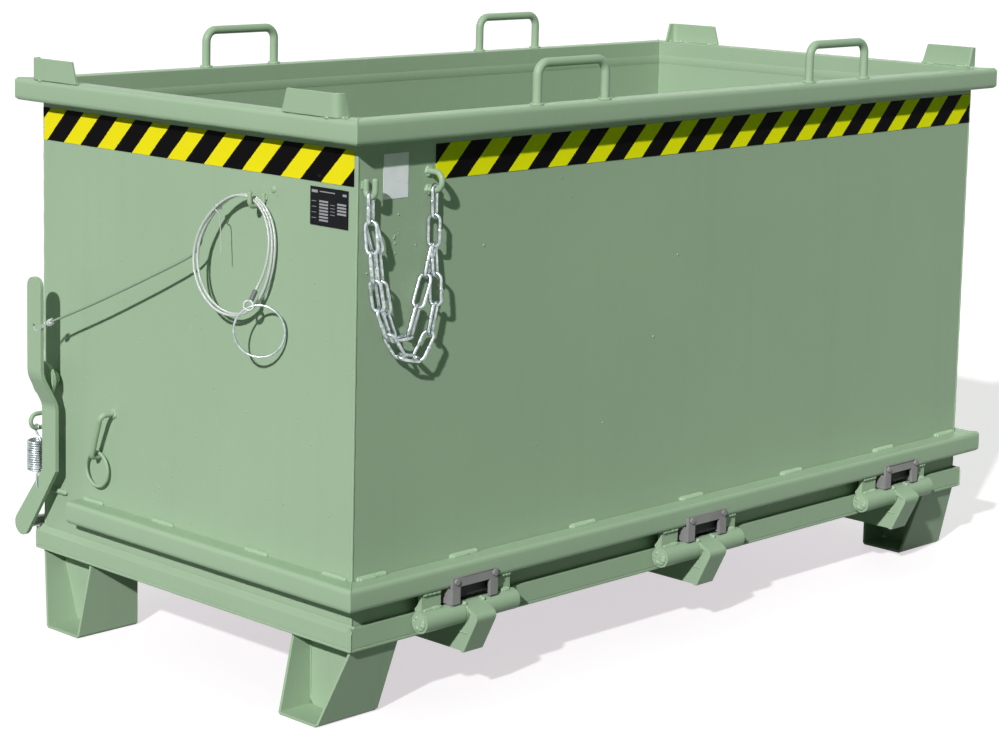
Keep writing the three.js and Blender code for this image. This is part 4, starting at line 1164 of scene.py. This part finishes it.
class BIN_OT_spring(bpy.types.Operator):
    """Makes the spring that pulls the lever back, and the eye that it hangs on"""

    bl_idname = "bin.spring"
    bl_label = "Return spring"

    def execute(self, context):
        axis_x, per_turn, radius = -WALL_X - 29, 24, 15
        steps = per_turn * 13
        turns = []
        for k in range(0, steps + 1, 2):
            angle = 2 * pi * k / per_turn
            aside, ahead = radius * sin(angle), radius * cos(angle)
            turns.append(at(axis_x - aside, 399 - ahead, 290 + 55 * k / steps))
        front = -WALL_X - 34.9
        lower = [at(-WALL_X - 21.8, 389, 260), at(front, 389, 260), at(front, 389, 283.6)]
        over = 5.9
        hook = []
        for k in range(13):
            turn = -pi / 4 + 1.25 * pi * k / 12
            hook.append(at(axis_x, 397 + over * cos(turn), 367 + over * sin(turn)))
        line = curved([*bent(lower, 2.4 * MM, 5), *turns, *hook], 2)
        piece = Shape().tube(line, 1.95 * MM, 10)
        piece = piece.piece("spring_wire", "bright_zinc", None, "return_spring")
        at(axis_x, 397, 360)
        at(axis_x, 397, 285)
        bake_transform(piece)
        half_ring("spring_eye", at(-847.3, 397, 393), LEFT, 26, 46, 4)
        return {"FINISHED"}


def weld_spot(shape, centre, way, radius):
    """An uneven blob of weld where a rod meets a wall."""
    rng = random.Random(round(centre.length * 1e5))
    side = square_to(way)
    across = way.cross(side)
    shape.dome(centre, way, radius, radius * 0.55, 16)
    for k in range(5):
        angle = 2 * pi * (k + 0.4 * rng.random()) / 5
        off = side * cos(angle) + across * sin(angle)
        size = radius * (0.42 + 0.2 * rng.random())
        shape.dome(centre + off * radius * 0.6, way + off * 0.4, size, radius * 0.5, 10)


def half_ring(node, start, out, legs, reach, radius):
    """A ring of rod that leaves the wall and comes back to it lower down."""
    corner = start + out * ((reach - radius) * MM)
    drop = UP * (-legs * MM)
    line = bent([start, corner, corner + drop, start + drop], legs / 2 * MM, 10)
    shape = Shape().tube(line, radius * MM, 20)
    for foot in (start, start + drop):
        weld_spot(shape, foot, out, radius * 1.7 * MM)
    shape.green(f"{node}_rod", BODY_OF[node], node)


def open_hook(node, weld, out, span, drop, rise, bend, radius):
    """A hook of rod: down the wall, out, and up again with a rounded tip."""
    low = weld - UP * (drop * MM)
    front = low + out * (span * MM)
    line = bent([weld, low, front, front + UP * (rise * MM)], bend * MM, 10)
    line = even_steps(line, 0.0012)
    size = radius * MM

    def tip(run, total):
        left = min(run, total - run, size * 0.6) / (size * 0.6)
        return size * (0.55 + 0.45 * sqrt(max(0.0, left * (2 - left))))

    shape = Shape().tube(line, tip, 20)
    side = square_to(out)
    for sign in (-1, 1):
        foot = weld + (side * (sign * 0.95) - out * 0.8) * size
        shape.bead([foot - UP * (3 * MM), foot - UP * (drop * 0.6 * MM)], 0.0022)
    shape.green(f"{node}_rod", BODY_OF[node], node)


class BIN_OT_hooks(bpy.types.Operator):
    """Makes the rope hook, the chain's hook and eye, and the rod and ring that park the rope's end"""

    bl_idname = "bin.hooks"
    bl_label = "Hooks and eyes"

    def execute(self, context):
        open_hook("rope_hook", at(-851.3, -194, 858), LEFT, 30, 20, 26, 9, 4)
        open_hook("chain_hook", at(-833, -418.3, 903), FRONT, 21, 28, 31, 10, 5)
        half_ring("chain_eye", at(-690, -413.3, 905), FRONT, 30, 36, 5)
        weld = at(-847.3, 207.5, 421)
        rod = bent([weld, at(-877, 207.5, 421), at(-868, 245, 338), at(-850, 245, 338)], 9 * MM, 8)
        shape = Shape().tube(even_steps(rod, 0.002), 5 * MM, 20)
        weld_spot(shape, weld, LEFT, 8.5 * MM)
        shape.green("park_rod_bar", replaces="park_rod")
        size = 31 * MM
        ring = round_about(at(-856, 245, 315.3), FRONT * -size, UP * size, 72)
        ring = Shape().tube(ring, 3 * MM, 14, closed=True)
        ring.green("park_ring_wire", BODY_OF["park_ring"], "park_ring")
        return {"FINISHED"}


class BIN_OT_spatter(bpy.types.Operator):
    """Scatters the small painted-over drops of weld near the hooks and welds"""

    bl_idname = "bin.spatter"
    bl_label = "Weld spatter"

    def execute(self, context):
        rng = random.Random(11)
        shape = Shape()
        low, high = FLANGE_TOP + 10, 880
        on_front = (
            (-750, 740, 70, 12), (-822, 840, 20, 4), (-715, 860, 30, 6), (-770, 790, 26, 8),
            (-300, 290, 300, 10),
        )
        on_left = ((-201, 866, 12, 5), (207, 421, 22, 5), (100, 560, 160, 8), (-250, 520, 90, 5))
        for x, z, spread, count in on_front:
            for _ in range(count):
                place = at(x + rng.gauss(0, spread), -WALL_Y, z + rng.gauss(0, spread * 0.6))
                size = (1.1 + 1.4 * rng.random()) * MM
                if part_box("wall_front")[0][0] + 0.02 < place.x and low < place.z / MM < high:
                    shape.dome(place, FRONT, size, size * 0.55)
        for y, z, spread, count in on_left:
            for _ in range(count):
                place = at(-WALL_X, y + rng.gauss(0, spread), z + rng.gauss(0, spread))
                size = (1.1 + 1.3 * rng.random()) * MM
                if abs(place.y) < 0.39 and low < place.z / MM < high:
                    shape.dome(place, LEFT, size, size * 0.55)
        shape.dome(at(-WALL_X, -214, 866), LEFT, 6 * MM, 3.4 * MM, 18)
        shape.green("weld_spatter")
        return {"FINISHED"}


# Stage


class BIN_OT_stage(bpy.types.Operator):
    """Sets up the camera, the pale floor, the two lamps and the sky"""

    bl_idname = "bin.stage"
    bl_label = "Stage"

    def execute(self, context):
        scene = context.scene
        scene.view_settings.view_transform = "Standard"
        self.camera(scene)
        self.floor(scene)
        self.light(scene)
        return {"FINISHED"}

    def camera(self, scene):
        """A camera where the photographer stood, its view moved down as the photograph was framed."""
        wide, high, sensor = 999, 737, 36
        focal, middle_x, middle_y = 2602.4, 430, 222
        yaw, pitch, roll = (radians(turn) for turn in (45.2886, -8.2270, 1.0757))
        level = Vector((cos(yaw), sin(yaw), 0))
        ahead = level * cos(pitch) + UP * sin(pitch)
        right = Vector((sin(yaw), -cos(yaw), 0))
        up = right.cross(ahead)
        across = right * cos(roll) + up * sin(roll)
        upright = up * cos(roll) - right * sin(roll)
        data = bpy.data.cameras.new("camera")
        data.sensor_width = sensor
        data.lens = focal * sensor / wide
        data.shift_x = (wide / 2 - middle_x) / wide
        data.shift_y = (middle_y - high / 2) / wide
        turn = Matrix((across, upright, -ahead)).transposed().to_4x4()
        scene.camera = put("camera", data)
        scene.camera.matrix_world = Matrix.Translation(at(-3621.1, -3379.1, 1424.4)) @ turn

    def floor(self, scene):
        half = 90
        mesh = bpy.data.meshes.new("floor")
        corners = [(-half, -half, 0), (half, -half, 0), (half, half, 0), (-half, half, 0)]
        mesh.from_pydata(corners, [], [(0, 1, 2, 3)])
        finish = Finish("pale floor", Roughness=0.9, Specular_IOR_Level=0.1)
        seen = finish.seen()
        grain = finish.noise(9, 3) * 0.02
        pale = finish.mix(tuple(scene.bin_stage.floor), srgb(180, 180, 180), grain)
        finish.set(
            Base_Color=finish.mix(srgb(84, 106, 88), pale, seen),
            Emission_Color=finish.mix((0, 0, 0, 1), (0.64, 0.6, 0.63, 1), seen),
            Emission_Strength=1.0,
        )
        mesh.materials.append(finish.made)
        floor = put("floor", mesh)

    def lamp(self, name, strength, softness, way):
        """A distant lamp of a strength and a softness in degrees, shining along a direction."""
        data = bpy.data.lights.new(name, "SUN")
        data.energy = pi * strength
        data.angle = radians(softness)
        lamp = put(name, data)
        lamp.rotation_euler = Vector(way).to_track_quat("-Z", "Y").to_euler()
        return lamp

    def light(self, scene):
        self.lamp("key lamp", scene.bin_stage.sun, 1.6, (1, 0.5, -0.66))
        back = self.lamp("back lamp", scene.bin_stage.behind, 25, (-1, -0.75, -0.25))
        back.visible_glossy = False
        sky = Finish("sky", "worlds", "Background")
        way = sky.node("TexCoord", output="Generated")
        height = sky.node("SeparateXYZ", {}, {0: way}, "Z").at_least(0)
        strength = height ** 3 * scene.bin_stage.sky + 0.05
        tint = tuple(scene.bin_stage.sky_colour)[:3]
        shade = sky.node("VectorMath", {"operation": "SCALE"}, {0: tint, "Scale": strength})
        sky.set(Color=sky.mix(shade, WHITE, sky.seen()))
        scene.world = sky.made


class BIN_PT_panel(bpy.types.Panel):
    """Lists the pieces of the bin and the settings that they follow"""

    bl_idname = "BIN_PT_panel"
    bl_label = "Drop bottom bin"
    bl_space_type = "VIEW_3D"
    bl_region_type = "UI"
    bl_category = "Bin"

    def draw(self, context):
        column = self.layout.column()
        for operator in OPERATORS:
            column.operator(operator.bl_idname)
        for name, group in SETTINGS:
            settings = getattr(context.scene, name)
            for key in group.__annotations__:
                column.prop(settings, key)


SETTINGS = (
    ("bin_paint", PaintSettings),
    ("bin_stripes", StripeSettings),
    ("bin_welds", WeldSettings),
    ("bin_rope", RopeSettings),
    ("bin_chain", ChainSettings),
    ("bin_stage", StageSettings),
)
OPERATORS = (
    BIN_OT_stage,
    BIN_OT_rope,
    BIN_OT_chain,
    BIN_OT_tub,
    BIN_OT_rim,
    BIN_OT_stacking_corners,
    BIN_OT_lifting_loops,
    BIN_OT_tapes_and_plates,
    BIN_OT_flap,
    BIN_OT_hinges,
    BIN_OT_lever,
    BIN_OT_spring,
    BIN_OT_hooks,
    BIN_OT_spatter,
)


def register():
    for name, group in SETTINGS:
        bpy.utils.register_class(group)
        setattr(bpy.types.Scene, name, bpy.props.PointerProperty(type=group))
    for operator in OPERATORS:
        bpy.utils.register_class(operator)
    bpy.utils.register_class(BIN_PT_panel)


def unregister():
    bpy.utils.unregister_class(BIN_PT_panel)
    for operator in reversed(OPERATORS):
        bpy.utils.unregister_class(operator)
    for name, group in reversed(SETTINGS):
        delattr(bpy.types.Scene, name)
        bpy.utils.unregister_class(group)


def main():
    register()
    for operator in OPERATORS:
        group, name = operator.bl_idname.split(".")
        getattr(getattr(bpy.ops, group), name)()


if __name__ == "__main__":
    main()
